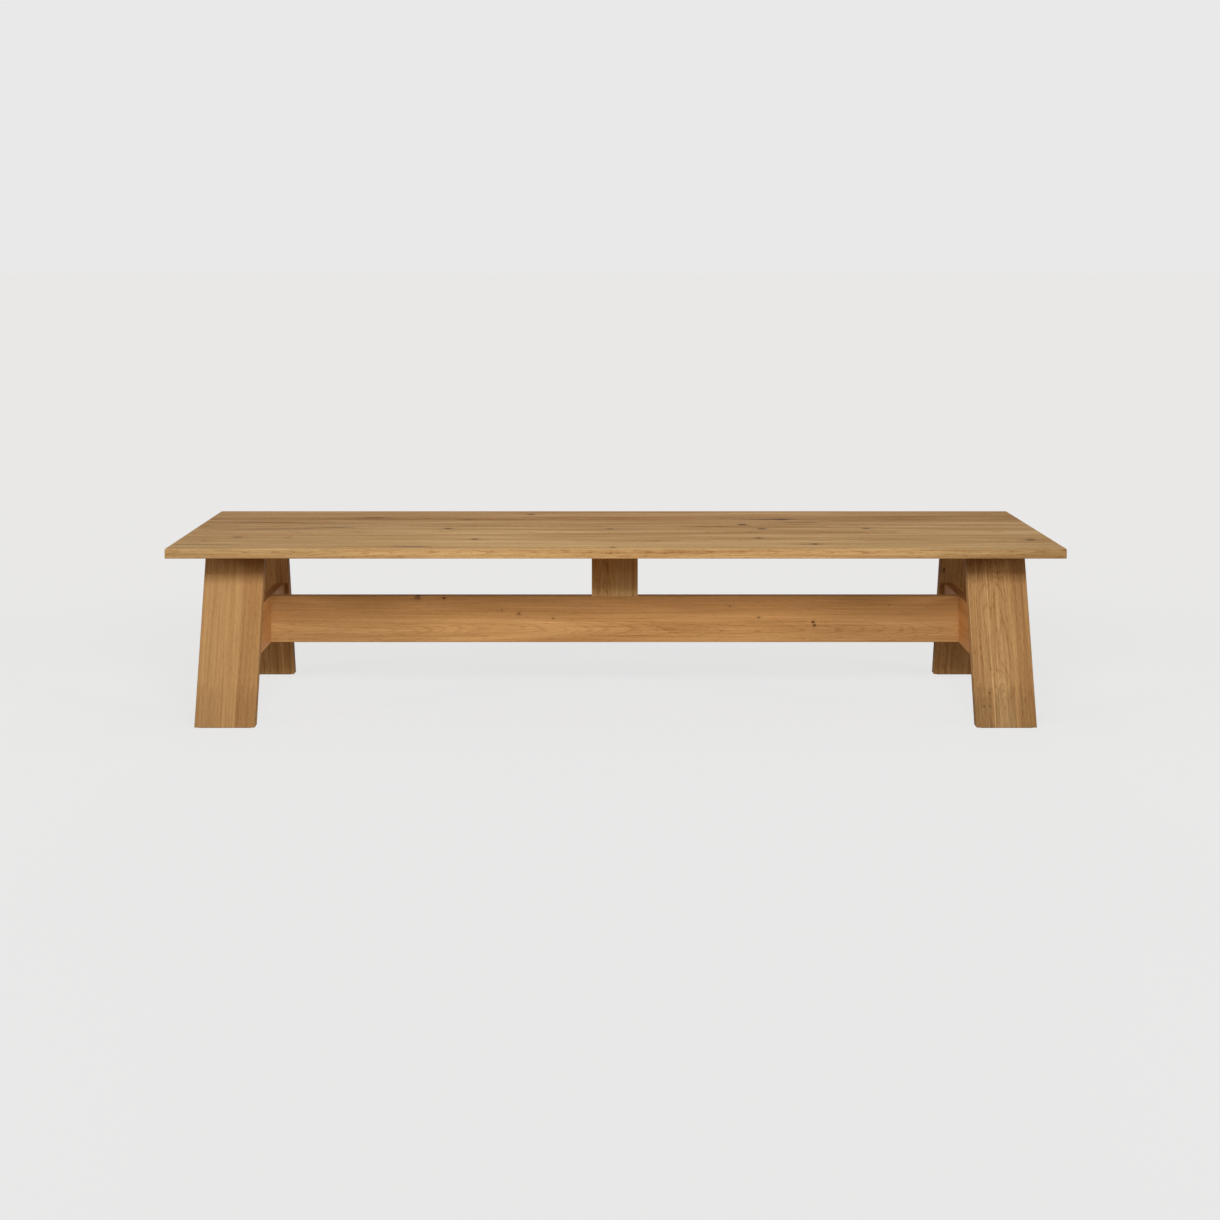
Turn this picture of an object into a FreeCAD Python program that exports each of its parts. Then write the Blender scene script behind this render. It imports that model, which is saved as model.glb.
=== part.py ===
import FreeCAD, Part
import math
import os
import re
import Sketcher

# Trestle dining table: a planked top on two splayed trestles, tied by a long stretcher with a post.
# Millimetres. +X runs along the table, +Y towards its rear edge, +Z up, and the origin lies on the
# floor under the middle of the top. Left is -X, right is +X, front is -Y and rear is +Y.

document = FreeCAD.newDocument("trestle_dining_table")

SIZES = {
    "table_height": (740, "floor to the upper face of the top"),
    "top_length": (3660, "length of every plank of the top"),
    "top_thickness": (40, "thickness of the planks of the top"),
    "wide_plank": (160, "width of the widest planks of the top"),
    "medium_plank": (135, "width of the middling planks of the top"),
    "narrow_plank": (100, "width of the narrowest planks of the top"),
    "arris_chamfer": (2, "easing of the edges that a hand meets"),
    "spline_thickness": (8, "thickness of the loose splines between the planks"),
    "spline_width": (24, "width of a spline, half of it in each plank"),
    "spline_stop": (120, "distance that a spline stops short of the ends of the top"),
    "leg_width": (246, "width of a leg along the table"),
    "leg_thickness": (45, "thickness of a leg, square to its face"),
    "leg_lean": (15.5, "lean of a leg from upright, in degrees"),
    "foot_inset": (40, "long edge of the top to the outer edge of a foot"),
    "end_overhang": (110, "end of the top to the outer side of a leg"),
    "felt_thickness": (3, "thickness of the felt strip under each foot"),
    "felt_width": (36, "width of a felt strip"),
    "felt_length": (220, "length of a felt strip"),
    "rail_height": (200, "height of the stretcher and the crosspieces"),
    "rail_clearance": (250, "floor to the underside of the stretcher and the crosspieces"),
    "stretcher_thickness": (40, "thickness of the stretcher and its post"),
    "crosspiece_thickness": (40, "thickness of a crosspiece"),
    "crosspiece_setback": (20, "inner side of a leg to the inner face of its crosspiece"),
    "tenon_thickness": (14, "thickness of all tenons"),
    "tenon_height": (60, "height of a crosspiece's tenons"),
    "tenon_depth": (28, "reach of the crosspieces' and bearers' tenons into a leg"),
    "stub_height": (24, "height of the stub tenons at the ends of the stretcher"),
    "stub_pitch": (60, "spacing of the two stub tenons at each end of a stretcher board"),
    "stub_depth": (18, "reach of the stub tenons of the stretcher and of the post's foot"),
    "post_width": (200, "width of the post on the stretcher"),
    "post_tenon_width": (60, "width of the tenons at the foot and the head of the post"),
    "post_tenon_rise": (12, "reach of the post's head tenons into the top"),
    "bearer_thickness": (45, "thickness of the bearer under the top of each trestle"),
    "bearer_height": (45, "height of a bearer"),
    "bearer_tenon_height": (24, "height of a bearer's tenons"),
    "bearer_bolt_inset": (65, "end of a bearer to its outer bolts"),
    "bearer_slot_length": (24, "length of the slots that let the top swell and shrink"),
    "bolt_diameter": (10, "diameter of the bolts that hold the stretcher"),
    "bolt_head_diameter": (24, "diameter of those bolts' flat heads"),
    "bolt_head_height": (4, "height of those bolts' heads"),
    "bolt_key": (6, "size across the flats of those bolts' sockets"),
    "bolt_socket_depth": (6, "depth of those bolts' sockets"),
    "bolt_tip": (12, "reach of those bolts past the axis of their barrel nuts"),
    "counterbore_diameter": (26, "diameter of the recess round those bolts' heads"),
    "counterbore_depth": (5, "depth of the recess round those bolts' heads"),
    "barrel_diameter": (16, "diameter of a barrel nut"),
    "barrel_length": (28, "length of a barrel nut"),
    "barrel_inset": (50, "end of the stretcher to the axis of a barrel nut"),
    "top_bolt_diameter": (8, "diameter of the bolts that hold the top"),
    "top_bolt_head_diameter": (20, "diameter of those bolts' flat heads"),
    "top_bolt_head_height": (3.5, "height of those bolts' heads"),
    "top_bolt_key": (5, "size across the flats of those bolts' sockets"),
    "top_bolt_socket_depth": (5, "depth of those bolts' sockets"),
    "top_bolt_reach": (12, "reach of those bolts into the top"),
    "bolt_play": (1, "how much wider a bolt's hole or slot is than the bolt"),
    "insert_diameter": (12, "outer diameter of a threaded insert in the top"),
    "insert_length": (14, "length of a threaded insert"),
    "fit_gap": (0.3, "gap round whatever is let into wood or into a nut"),
}

# The planks of the top from the rear edge to the front edge.
PLANK_ROW = ["wide_plank", "narrow_plank", "medium_plank", "narrow_plank",
             "wide_plank", "wide_plank", "medium_plank"]
STAVES = ["inner", "middle", "outer"]
ENDS = {"left": "-", "right": "+"}
FACES = {"front": "-", "rear": "+"}
LEVELS = {"lower": "rail_clearance", "upper": "(rail_clearance + rail_height / 2)"}
OPPOSITE = {"+": "-", "-": "+"}

# Each axis of a body has one origin plane square to it, and that plane's normal runs with or
# against the axis.
PLANES = {"x": ("YZ_Plane", "+"), "y": ("XZ_Plane", "-"), "z": ("XY_Plane", "+")}
# The turn that points a piece made along +Z along another direction.
TURNS = {
    "+x": FreeCAD.Rotation(FreeCAD.Vector(0, 1, 0), 90),
    "-x": FreeCAD.Rotation(FreeCAD.Vector(0, 1, 0), -90),
    "+y": FreeCAD.Rotation(FreeCAD.Vector(1, 0, 0), -90),
    "+z": FreeCAD.Rotation(),
}
# Edges are told apart by their place, to this many millimetres, and by the share of their length
# that lies along one axis.
SAME_PLACE = 0.01
MOSTLY_ALONG = 0.8

# Places that several pieces share, as expressions of the sizes.
HALF_WIDTH = "((" + " + ".join(PLANK_ROW) + ") / 2)"
UNDERSIDE = "(table_height - top_thickness)"
RAIL_TOP = "(rail_clearance + rail_height)"
BOARD_HEIGHT = "(rail_height / 2)"
STAVE_WIDTH = f"(leg_width / {len(STAVES)})"
LEG_INNER_SIDE = "(top_length / 2 - end_overhang - leg_width)"
STRETCHER_END = f"({LEG_INNER_SIDE} + crosspiece_setback)"
BEARER_MIDDLE = f"({LEG_INNER_SIDE} + leg_width / 2)"
BEARER_BASE = f"({UNDERSIDE} - bearer_height)"
BOLT_SEAT = "(crosspiece_thickness - counterbore_depth)"
BOLT_REACH = f"({BOLT_SEAT} + barrel_inset + bolt_tip)"
BOLT_HOLE = "(bolt_diameter + bolt_play)"
SLOT_WIDTH = "(top_bolt_diameter + bolt_play)"
MORTISE_WIDTH = "(tenon_thickness + 2 * fit_gap)"

sub_parts = []


def make_sheet():
    """The spreadsheet that holds every driving size, each in a named cell."""
    sheet = document.addObject("Spreadsheet::Sheet", "Dimensions")
    for row, (name, (value, meaning)) in enumerate(SIZES.items(), 1):
        sheet.set(f"A{row}", meaning)
        sheet.set(f"B{row}", str(value))
        sheet.setAlias(f"B{row}", name)
    document.recompute()
    return sheet


def bound(text):
    """An expression in which the name of each size refers to its cell."""
    return re.sub(r"[a-z]\w+", lambda word: f"Dimensions.{word[0]}" if word[0] in SIZES else word[0], text)


def signed(sign, text):
    """An expression on the + or the - side of the table's middle."""
    return f"({text})" if sign == "+" else f"-({text})"


# Places that follow the lean of the legs, and those of the joints and bolts

def leg_outer(height):
    """Distance from the table's middle to the outer face of a leg at a height above the floor."""
    return f"({HALF_WIDTH} - foot_inset - ({height} - felt_thickness) * tan(leg_lean))"


def leg_inner(height):
    """Distance from the table's middle to the inner face of a leg at a height above the floor."""
    return f"({leg_outer(height)} - leg_thickness / cos(leg_lean))"


def board_middle(level):
    """Height of the middle of a stretcher or crosspiece board above the floor."""
    return f"({LEVELS[level]} + {BOARD_HEIGHT} / 2)"


def around(middle, extent):
    """The low and the high end of an extent about its middle."""
    return f"({middle} - ({extent}) / 2)", f"({middle} + ({extent}) / 2)"


def stub_middles(middle):
    """Heights of the two stub tenons at the end of a stretcher board."""
    return around(middle, "stub_pitch")


def bearer_bolt_rows():
    """Places of the three bolts of a bearer across the table, front to rear."""
    reach = f"{leg_inner(UNDERSIDE)} - bearer_bolt_inset"
    return [f"-({reach})", "0", f"({reach})"]


# Helpers that draw and cut

def pin(sketch, geometry, point, corner):
    """Ties a point of a sketch to a pair of expressions, measured from the sketch's origin."""
    for kind, text in zip(("DistanceX", "DistanceY"), corner):
        index = sketch.addConstraint(Sketcher.Constraint(kind, -1, 1, geometry, point, 1.0))
        sketch.setExpression(f"Constraints[{index}]", bound(text))


def outline(sketch, corners):
    """Draws a closed outline of straight lines through the corners."""
    first = sketch.GeometryCount
    count = len(corners)
    ring = [FreeCAD.Vector(math.cos(2 * math.pi * i / count), math.sin(2 * math.pi * i / count), 0)
            for i in range(count)]
    for i in range(count):
        sketch.addGeometry(Part.LineSegment(ring[i], ring[(i + 1) % count]))
    for i in range(count):
        following = first + (i + 1) % count
        sketch.addConstraint(Sketcher.Constraint("Coincident", first + i, 2, following, 1))
    for i, corner in enumerate(corners):
        pin(sketch, first + i, 1, corner)


def rectangle(sketch, low, high):
    """Draws a rectangle between two opposite corners."""
    outline(sketch, [low, (high[0], low[1]), high, (low[0], high[1])])


def block(sketch, centre, width, height):
    """Draws a rectangle about its centre."""
    left, right = around(centre[0], width)
    low, high = around(centre[1], height)
    rectangle(sketch, (left, low), (right, high))


def circle(sketch, centre, diameter):
    """Draws a circle."""
    upright = FreeCAD.Vector(0, 0, 1)
    ring = sketch.addGeometry(Part.Circle(FreeCAD.Vector(1, 1, 0), upright, 1))
    index = sketch.addConstraint(Sketcher.Constraint("Diameter", ring, 1.0))
    sketch.setExpression(f"Constraints[{index}]", bound(diameter))
    pin(sketch, ring, 3, centre)


def put(piece, place):
    """Ties the place of a piece to three expressions."""
    for direction, text in zip("xyz", place):
        piece.setExpression(f"Placement.Base.{direction}", bound(text))


def new_body(label, place):
    """An empty body for one board."""
    body = document.addObject("PartDesign::Body", label)
    body.Label = label
    put(body, place)
    sub_parts.append(body)
    return body


def sketch_across(body, axis, place="0"):
    """An empty sketch square to an axis of a body, at a place along that axis."""
    role, normal = PLANES[axis]
    plane = next(feature for feature in body.Origin.OriginFeatures if feature.Role == role)
    sketch = body.newObject("Sketcher::SketchObject", f"{body.Name}_sketch")
    sketch.AttachmentSupport = [(plane, "")]
    sketch.MapMode = "FlatFace"
    sketch.setExpression("AttachmentOffset.Base.z", bound(signed(normal, place)))
    return sketch


def pad(body, sketch, length, symmetric=False):
    """Thickens a sketch along its normal, to one side or evenly to both."""
    feature = body.newObject("PartDesign::Pad", f"{body.Name}_pad")
    feature.Profile = sketch
    feature.SideType = "Symmetric" if symmetric else "One side"
    feature.setExpression("Length", bound(length))
    document.recompute()
    return feature


def pocket(body, sketch, axis, direction, depth):
    """Cuts a sketch out of a body, along + or - of the axis or evenly to both sides of the sketch."""
    document.recompute()
    before = body.Shape.Volume
    feature = body.newObject("PartDesign::Pocket", f"{body.Name}_pocket")
    feature.Profile = sketch
    feature.SideType = "Symmetric" if direction == "both" else "One side"
    feature.Reversed = direction == PLANES[axis][1]
    feature.setExpression("Length", bound(depth))
    document.recompute()
    if body.Shape.Volume >= before:
        raise RuntimeError(f"{feature.Name} cuts nothing out of {body.Label}")


def drill(body, axis, start, direction, depth, diameter, centres):
    """Bores round holes of one size into a body, from a place along the axis."""
    sketch = sketch_across(body, axis, start)
    for centre in centres:
        circle(sketch, centre, diameter)
    pocket(body, sketch, axis, direction, depth)


def mortise(body, axis, start, direction, depth, width, height, centres):
    """Chops square holes of one size into a body, from a place along the axis, with the fit's gap."""
    sketch = sketch_across(body, axis, start)
    for centre in centres:
        block(sketch, centre, f"{width} + 2 * fit_gap", f"{height} + 2 * fit_gap")
    pocket(body, sketch, axis, direction, f"{depth} + fit_gap")


def leaning_mortises(body, along, side, spans):
    """Mortises in the inner face of a leg, each between two heights, with ends that follow the lean."""
    sketch = sketch_across(body, "x", along)
    for low, high in spans:
        low = f"({low} - fit_gap)"
        high = f"({high} + fit_gap)"
        outline(sketch, [(signed(side, f"{leg_inner(low)} + tenon_depth + fit_gap"), low),
                         (signed(side, f"{leg_inner(high)} + tenon_depth + fit_gap"), high),
                         (signed(side, f"{leg_inner(high)} - tenon_depth"), high),
                         (signed(side, f"{leg_inner(low)} - tenon_depth"), low)])
    pocket(body, sketch, "x", "both", MORTISE_WIDTH)


def leaning_board(body, base, height, thickness, tenon_span):
    """A board across a trestle, with shoulders cut to the lean of the legs and a tenon at each end."""
    middle = f"({thickness} / 2)"
    head = f"({base} + {height})"
    sketch = sketch_across(body, "x", middle)
    outline(sketch, [(leg_inner(base), "0"), (leg_inner(head), height),
                     (f"-{leg_inner(head)}", height), (f"-{leg_inner(base)}", "0")])
    blank = pad(body, sketch, thickness, symmetric=True)
    low, high = tenon_span
    low_reach = f"({leg_inner(f'({base} + {low})')} + tenon_depth)"
    high_reach = f"({leg_inner(f'({base} + {high})')} + tenon_depth)"
    tongue = sketch_across(body, "x", middle)
    outline(tongue, [(low_reach, low), (high_reach, high), (f"-{high_reach}", high), (f"-{low_reach}", low)])
    return blank, tongue


def ease(body, feature, wanted):
    """Chamfers those edges of a body's last feature for which the test is true."""
    names = [f"Edge{i}" for i, edge in enumerate(feature.Shape.Edges, 1) if wanted(edge)]
    chamfer = body.newObject("PartDesign::Chamfer", f"{body.Name}_arris")
    chamfer.Base = (feature, names)
    chamfer.setExpression("Size", bound("arris_chamfer"))
    document.recompute()


def runs_along(edge, axis):
    """Whether an edge lies more along one axis than along the others."""
    across = edge.Vertexes[-1].Point - edge.Vertexes[0].Point
    return abs(getattr(across, axis)) > MOSTLY_ALONG * across.Length


def lies_at(edge, axis, place):
    """Whether the middle of an edge lies at a place along an axis."""
    return abs(getattr(edge.CenterOfMass, axis) - place) < SAME_PLACE


def half_profile(name, corners):
    """The outline, as radius and height, that a turned piece is spun from."""
    sketch = document.addObject("Sketcher::SketchObject", f"{name}_half_profile")
    sketch.Placement = FreeCAD.Placement(FreeCAD.Vector(), FreeCAD.Rotation(FreeCAD.Vector(1, 0, 0), 90))
    outline(sketch, corners)
    return sketch


def spun(name, profile):
    """A turned piece about its own Z axis."""
    solid = document.addObject("Part::Revolution", name)
    solid.Source = profile
    solid.Axis = FreeCAD.Vector(0, 0, 1)
    solid.Angle = 360
    solid.Solid = True
    return solid


def without(name, piece, waste):
    """A piece with another one cut out of it."""
    solid = document.addObject("Part::Cut", name)
    solid.Base = piece
    solid.Tool = waste
    return solid


def bundle(label, members):
    """One sub-part of like solids."""
    whole = document.addObject("Part::Compound", label)
    whole.Label = label
    whole.Links = members
    sub_parts.append(whole)
    document.recompute()


def group(label, make, places):
    """Like solids in one sub-part: each is made anew and set at its place, pointing its way."""
    members = []
    for turn, place in places:
        member = make(f"{label}_piece")
        member.Placement = FreeCAD.Placement(FreeCAD.Vector(), TURNS[turn])
        put(member, place)
        members.append(member)
    bundle(label, members)
    return members


# Fasteners, splines and felts

def bolt_maker(kind, reach):
    """Flat-head bolts with their origin under the head, reaching along +Z."""
    shank = f"{kind}_diameter / 2"
    head = f"{kind}_head_diameter / 2"
    head_end = f"-{kind}_head_height"
    profile = half_profile(kind, [("0", head_end), (head, head_end), (head, "0"),
                                  (shank, "0"), (shank, reach), ("0", reach)])
    socket = document.addObject("Part::Prism", f"{kind}_socket")
    socket.Polygon = 6
    socket.setExpression("Circumradius", bound(f"{kind}_key / sqrt(3)"))
    socket.setExpression("Height", bound(f"{kind}_socket_depth"))
    socket.setExpression("Placement.Base.z", bound(head_end))
    return lambda name: without(name, spun(f"{name}_blank", profile), socket)


def barrel_nut_maker():
    """Barrel nuts, centred on their own origin, with the bolt's hole across them."""
    profile = half_profile("barrel_nut", [
        ("0", "-barrel_length / 2"), ("barrel_diameter / 2", "-barrel_length / 2"),
        ("barrel_diameter / 2", "barrel_length / 2"), ("0", "barrel_length / 2")])
    bore = document.addObject("Part::Cylinder", "barrel_nut_bore")
    bore.Placement = FreeCAD.Placement(FreeCAD.Vector(), TURNS["+x"])
    bore.setExpression("Radius", bound("bolt_diameter / 2 + fit_gap"))
    bore.setExpression("Height", bound("2 * barrel_diameter"))
    bore.setExpression("Placement.Base.x", bound("-barrel_diameter"))
    return lambda name: without(name, spun(f"{name}_blank", profile), bore)


def insert_maker():
    """Threaded inserts, with their origin in the underside of the top."""
    inner = "top_bolt_diameter / 2 + fit_gap"
    outer = "insert_diameter / 2"
    profile = half_profile("insert", [
        (inner, "0"), (outer, "0"), (outer, "insert_length"), (inner, "insert_length")])
    return lambda name: spun(name, profile)


def make_stretcher_fixings():
    """Bolts through the crosspieces into barrel nuts, two at each end of the stretcher."""
    bolts = []
    nuts = []
    for sign in ENDS.values():
        for level in LEVELS:
            seat = signed(sign, f"{STRETCHER_END} + {BOLT_SEAT}")
            bolts.append((f"{OPPOSITE[sign]}x", (seat, "0", board_middle(level))))
            axis = signed(sign, f"{STRETCHER_END} - barrel_inset")
            nuts.append(("+y", (axis, "0", board_middle(level))))
    group("stretcher_bolts", bolt_maker("bolt", BOLT_REACH), bolts)
    group("stretcher_barrel_nuts", barrel_nut_maker(), nuts)


def make_top_fixings():
    """Bolts through the bearers into inserts in the top, three in each trestle."""
    spots = [(signed(sign, BEARER_MIDDLE), row) for sign in ENDS.values() for row in bearer_bolt_rows()]
    group("bearer_bolts", bolt_maker("top_bolt", "bearer_height + top_bolt_reach"),
          [("+z", (*spot, BEARER_BASE)) for spot in spots])
    inserts = group("top_inserts", insert_maker(), [("+z", (*spot, UNDERSIDE)) for spot in spots])
    return [(spot, insert.Placement.Base.y) for spot, insert in zip(spots, inserts)]


def make_box(name, place, extents):
    """A plain strip, set by its lowest corner."""
    strip = document.addObject("Part::Box", name)
    for side, text in zip(("Length", "Width", "Height"), extents):
        strip.setExpression(side, bound(text))
    put(strip, place)
    return strip


def make_splines():
    """Loose splines in the joints between neighbouring planks, stopped short of the ends."""
    splines = []
    for joint in range(1, len(PLANK_ROW)):
        behind = " + ".join(PLANK_ROW[:joint])
        place = ("-(top_length / 2 - spline_stop)", f"{HALF_WIDTH} - ({behind}) - spline_width / 2",
                 f"{UNDERSIDE} + (top_thickness - spline_thickness) / 2")
        extents = ("top_length - 2 * spline_stop", "spline_width", "spline_thickness")
        splines.append(make_box("top_spline", place, extents))
    bundle("top_splines", splines)


def make_felts():
    """One strip of felt under each foot."""
    felts = []
    for sign in ENDS.values():
        for side in FACES.values():
            across = signed(side, f"{leg_outer('felt_thickness')} - leg_thickness / cos(leg_lean) / 2")
            place = (f"{signed(sign, BEARER_MIDDLE)} - felt_length / 2", f"{across} - felt_width / 2", "0")
            felts.append(make_box("foot_felt", place, ("felt_length", "felt_width", "felt_thickness")))
    bundle("foot_felts", felts)


# Boards

def make_plank(number, inserts):
    """One plank of the top: eased outside, grooved where it meets a neighbour and cut from below."""
    width = PLANK_ROW[number]
    middle = f"({HALF_WIDTH} - ({' + '.join(['0'] + PLANK_ROW[:number])}) - {width} / 2)"
    body = new_body(f"top_plank_{number + 1}", ("0", middle, UNDERSIDE))
    sketch = sketch_across(body, "z")
    block(sketch, ("0", "0"), "top_length", width)
    blank = pad(body, sketch, "top_thickness")
    box = blank.Shape.BoundBox
    open_sides = []
    joints = ["+", "-"]
    if number == 0:
        open_sides.append(box.YMax)
        joints.remove("+")
    if number == len(PLANK_ROW) - 1:
        open_sides.append(box.YMin)
        joints.remove("-")

    def is_outside(edge):
        at_side = any(lies_at(edge, "y", side) for side in open_sides)
        at_end = lies_at(edge, "x", box.XMin) or lies_at(edge, "x", box.XMax)
        return at_side or (at_end and runs_along(edge, "y"))

    ease(body, blank, is_outside)
    for side in joints:
        mortise(body, "y", signed(side, f"{width} / 2"), OPPOSITE[side], "spline_width / 2",
                "top_length - 2 * spline_stop", "spline_thickness", [("0", "top_thickness / 2")])
    rear = body.Placement.Base.y + box.YMax
    front = body.Placement.Base.y + box.YMin
    insert_reach = sheet.get("insert_diameter") / 2 + sheet.get("fit_gap")
    holes = [(spot[0], f"{spot[1]} - {middle}") for spot, row in inserts
             if front - insert_reach < row < rear + insert_reach]
    if holes:
        drill(body, "z", "0", "+", "insert_length + fit_gap", "insert_diameter + 2 * fit_gap", holes)
    tenon_reach = sheet.get("tenon_thickness") / 2 + sheet.get("fit_gap")
    if front < tenon_reach and rear > -tenon_reach:
        heads = [(signed(sign, "post_width / 4"), f"-{middle}") for sign in ENDS.values()]
        mortise(body, "z", "0", "+", "post_tenon_rise", "post_tenon_width", "tenon_thickness", heads)


def make_stave(end, face, number):
    """One stave of a leg, cut level at the floor and under the top, and mortised for what it carries."""
    sign = ENDS[end]
    side = FACES[face]
    near = number if sign == "+" else number + 1
    along = signed(sign, f"{LEG_INNER_SIDE} + {near} * {STAVE_WIDTH}")
    body = new_body(f"{end}_{face}_leg_{STAVES[number]}_stave", (along, "0", "0"))
    sketch = sketch_across(body, "x")
    outline(sketch, [(signed(side, leg_outer("felt_thickness")), "felt_thickness"),
                     (signed(side, leg_outer(UNDERSIDE)), UNDERSIDE),
                     (signed(side, leg_inner(UNDERSIDE)), UNDERSIDE),
                     (signed(side, leg_inner("felt_thickness")), "felt_thickness")])
    blank = pad(body, sketch, STAVE_WIDTH)
    box = blank.Shape.BoundBox
    if STAVES[number] == "middle":
        span = around(f"({BEARER_BASE} + bearer_height / 2)", "bearer_tenon_height")
        leaning_mortises(body, f"{STAVE_WIDTH} / 2", side, [span])
        return
    faces_out = (STAVES[number] == "outer") == (sign == "+")
    open_side = box.XMax if faces_out else box.XMin
    ease(body, blank, lambda edge: lies_at(edge, "x", open_side) and runs_along(edge, "z"))
    if STAVES[number] == "inner":
        from_inner_side = "(crosspiece_setback + crosspiece_thickness / 2)"
        middle = from_inner_side if sign == "+" else f"({STAVE_WIDTH} - {from_inner_side})"
        spans = [around(board_middle(level), "tenon_height") for level in LEVELS]
        leaning_mortises(body, middle, side, spans)


def make_crosspiece_board(end, level):
    """One board of a crosspiece, tenoned into both legs, mortised and bored for the stretcher."""
    sign = ENDS[end]
    base = LEVELS[level]
    along = STRETCHER_END if sign == "+" else f"-({STRETCHER_END} + crosspiece_thickness)"
    body = new_body(f"{end}_crosspiece_{level}_board", (along, "0", base))
    middle = f"({BOARD_HEIGHT} / 2)"
    blank, tongue = leaning_board(body, base, BOARD_HEIGHT, "crosspiece_thickness",
                                  around(middle, "tenon_height"))
    box = blank.Shape.BoundBox
    open_height = box.ZMin if level == "lower" else box.ZMax
    ease(body, blank, lambda edge: lies_at(edge, "z", open_height) and runs_along(edge, "y"))
    pad(body, tongue, "tenon_thickness", symmetric=True)
    inner_face = "0" if sign == "+" else "crosspiece_thickness"
    outer_face = "crosspiece_thickness" if sign == "+" else "0"
    drill(body, "x", inner_face, sign, "crosspiece_thickness", BOLT_HOLE, [("0", middle)])
    drill(body, "x", outer_face, OPPOSITE[sign], "counterbore_depth", "counterbore_diameter", [("0", middle)])
    mortise(body, "x", inner_face, sign, "stub_depth", "tenon_thickness", "stub_height",
            [("0", height) for height in stub_middles(middle)])


def make_stretcher_board(level):
    """One board of the stretcher, with stub tenons at its ends, bored for the bolts and their nuts."""
    body = new_body(f"stretcher_{level}_board", ("0", "0", LEVELS[level]))
    middle = f"({BOARD_HEIGHT} / 2)"
    sketch = sketch_across(body, "x")
    block(sketch, ("0", middle), "stretcher_thickness", BOARD_HEIGHT)
    blank = pad(body, sketch, f"2 * {STRETCHER_END}", symmetric=True)
    box = blank.Shape.BoundBox
    open_height = box.ZMin if level == "lower" else box.ZMax
    ease(body, blank, lambda edge: lies_at(edge, "z", open_height) and runs_along(edge, "x"))
    tongues = sketch_across(body, "x")
    for height in stub_middles(middle):
        block(tongues, ("0", height), "tenon_thickness", "stub_height")
    pad(body, tongues, f"2 * ({STRETCHER_END} + stub_depth)", symmetric=True)
    for sign in ENDS.values():
        drill(body, "x", signed(sign, STRETCHER_END), OPPOSITE[sign], "barrel_inset + bolt_tip + fit_gap",
              BOLT_HOLE, [("0", middle)])
    nuts = [(signed(sign, f"{STRETCHER_END} - barrel_inset"), middle) for sign in ENDS.values()]
    drill(body, "y", "stretcher_thickness / 2", "-", "stretcher_thickness / 2 + barrel_length / 2 + fit_gap",
          "barrel_diameter + 2 * fit_gap", nuts)
    if level == "upper":
        mortise(body, "z", BOARD_HEIGHT, "-", "stub_depth", "post_tenon_width", "tenon_thickness",
                [(signed(sign, "post_width / 4"), "0") for sign in ENDS.values()])


def make_post_stave(end):
    """One of the two upright staves of the post, tenoned into the stretcher and the top."""
    sign = ENDS[end]
    body = new_body(f"post_{end}_stave", (signed(sign, "post_width / 4"), "0", RAIL_TOP))
    post_height = f"({UNDERSIDE} - {RAIL_TOP})"
    sketch = sketch_across(body, "z")
    block(sketch, ("0", "0"), "post_width / 2", "stretcher_thickness")
    blank = pad(body, sketch, post_height)
    box = blank.Shape.BoundBox
    open_side = box.XMax if sign == "+" else box.XMin
    ease(body, blank, lambda edge: lies_at(edge, "x", open_side) and runs_along(edge, "z"))
    tongue = sketch_across(body, "z", "-stub_depth")
    block(tongue, ("0", "0"), "post_tenon_width", "tenon_thickness")
    pad(body, tongue, f"stub_depth + {post_height} + post_tenon_rise")


def make_bearer(end):
    """The batten under the top of a trestle, tenoned into both legs and bored for the top's bolts."""
    along = f"{signed(ENDS[end], BEARER_MIDDLE)} - bearer_thickness / 2"
    body = new_body(f"{end}_bearer", (along, "0", BEARER_BASE))
    blank, tongue = leaning_board(body, BEARER_BASE, "bearer_height", "bearer_thickness",
                                  around("(bearer_height / 2)", "bearer_tenon_height"))
    lowest = blank.Shape.BoundBox.ZMin
    ease(body, blank, lambda edge: lies_at(edge, "z", lowest) and runs_along(edge, "y"))
    pad(body, tongue, "tenon_thickness", symmetric=True)
    middle = "bearer_thickness / 2"
    front, centre, rear = bearer_bolt_rows()
    run = f"(bearer_slot_length - {SLOT_WIDTH})"
    slots = sketch_across(body, "z")
    slot_ends = []
    for row in (front, rear):
        block(slots, (middle, row), SLOT_WIDTH, run)
        slot_ends += [(middle, place) for place in around(row, run)]
    pocket(body, slots, "z", "+", "bearer_height")
    drill(body, "z", "0", "+", "bearer_height", SLOT_WIDTH, [(middle, centre)] + slot_ends)


def check_and_write():
    """Stops at any failed object or bad shape, and then writes each sub-part to its own file."""
    document.recompute()
    for item in document.Objects:
        if "Invalid" in item.State or "Error" in item.State:
            raise RuntimeError(f"{item.Name} failed: {item.State}")
    for piece in sub_parts:
        if piece.Shape.isNull() or not piece.Shape.isValid():
            raise RuntimeError(f"{piece.Label} has no valid shape")
    os.makedirs("parts", exist_ok=True)
    for piece in sub_parts:
        piece.Shape.exportStep(f"parts/{piece.Label}.step")
        print(f"{piece.Label}: {len(piece.Shape.Solids)} solids, {piece.Shape.Volume:.0f} mm3")


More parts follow.
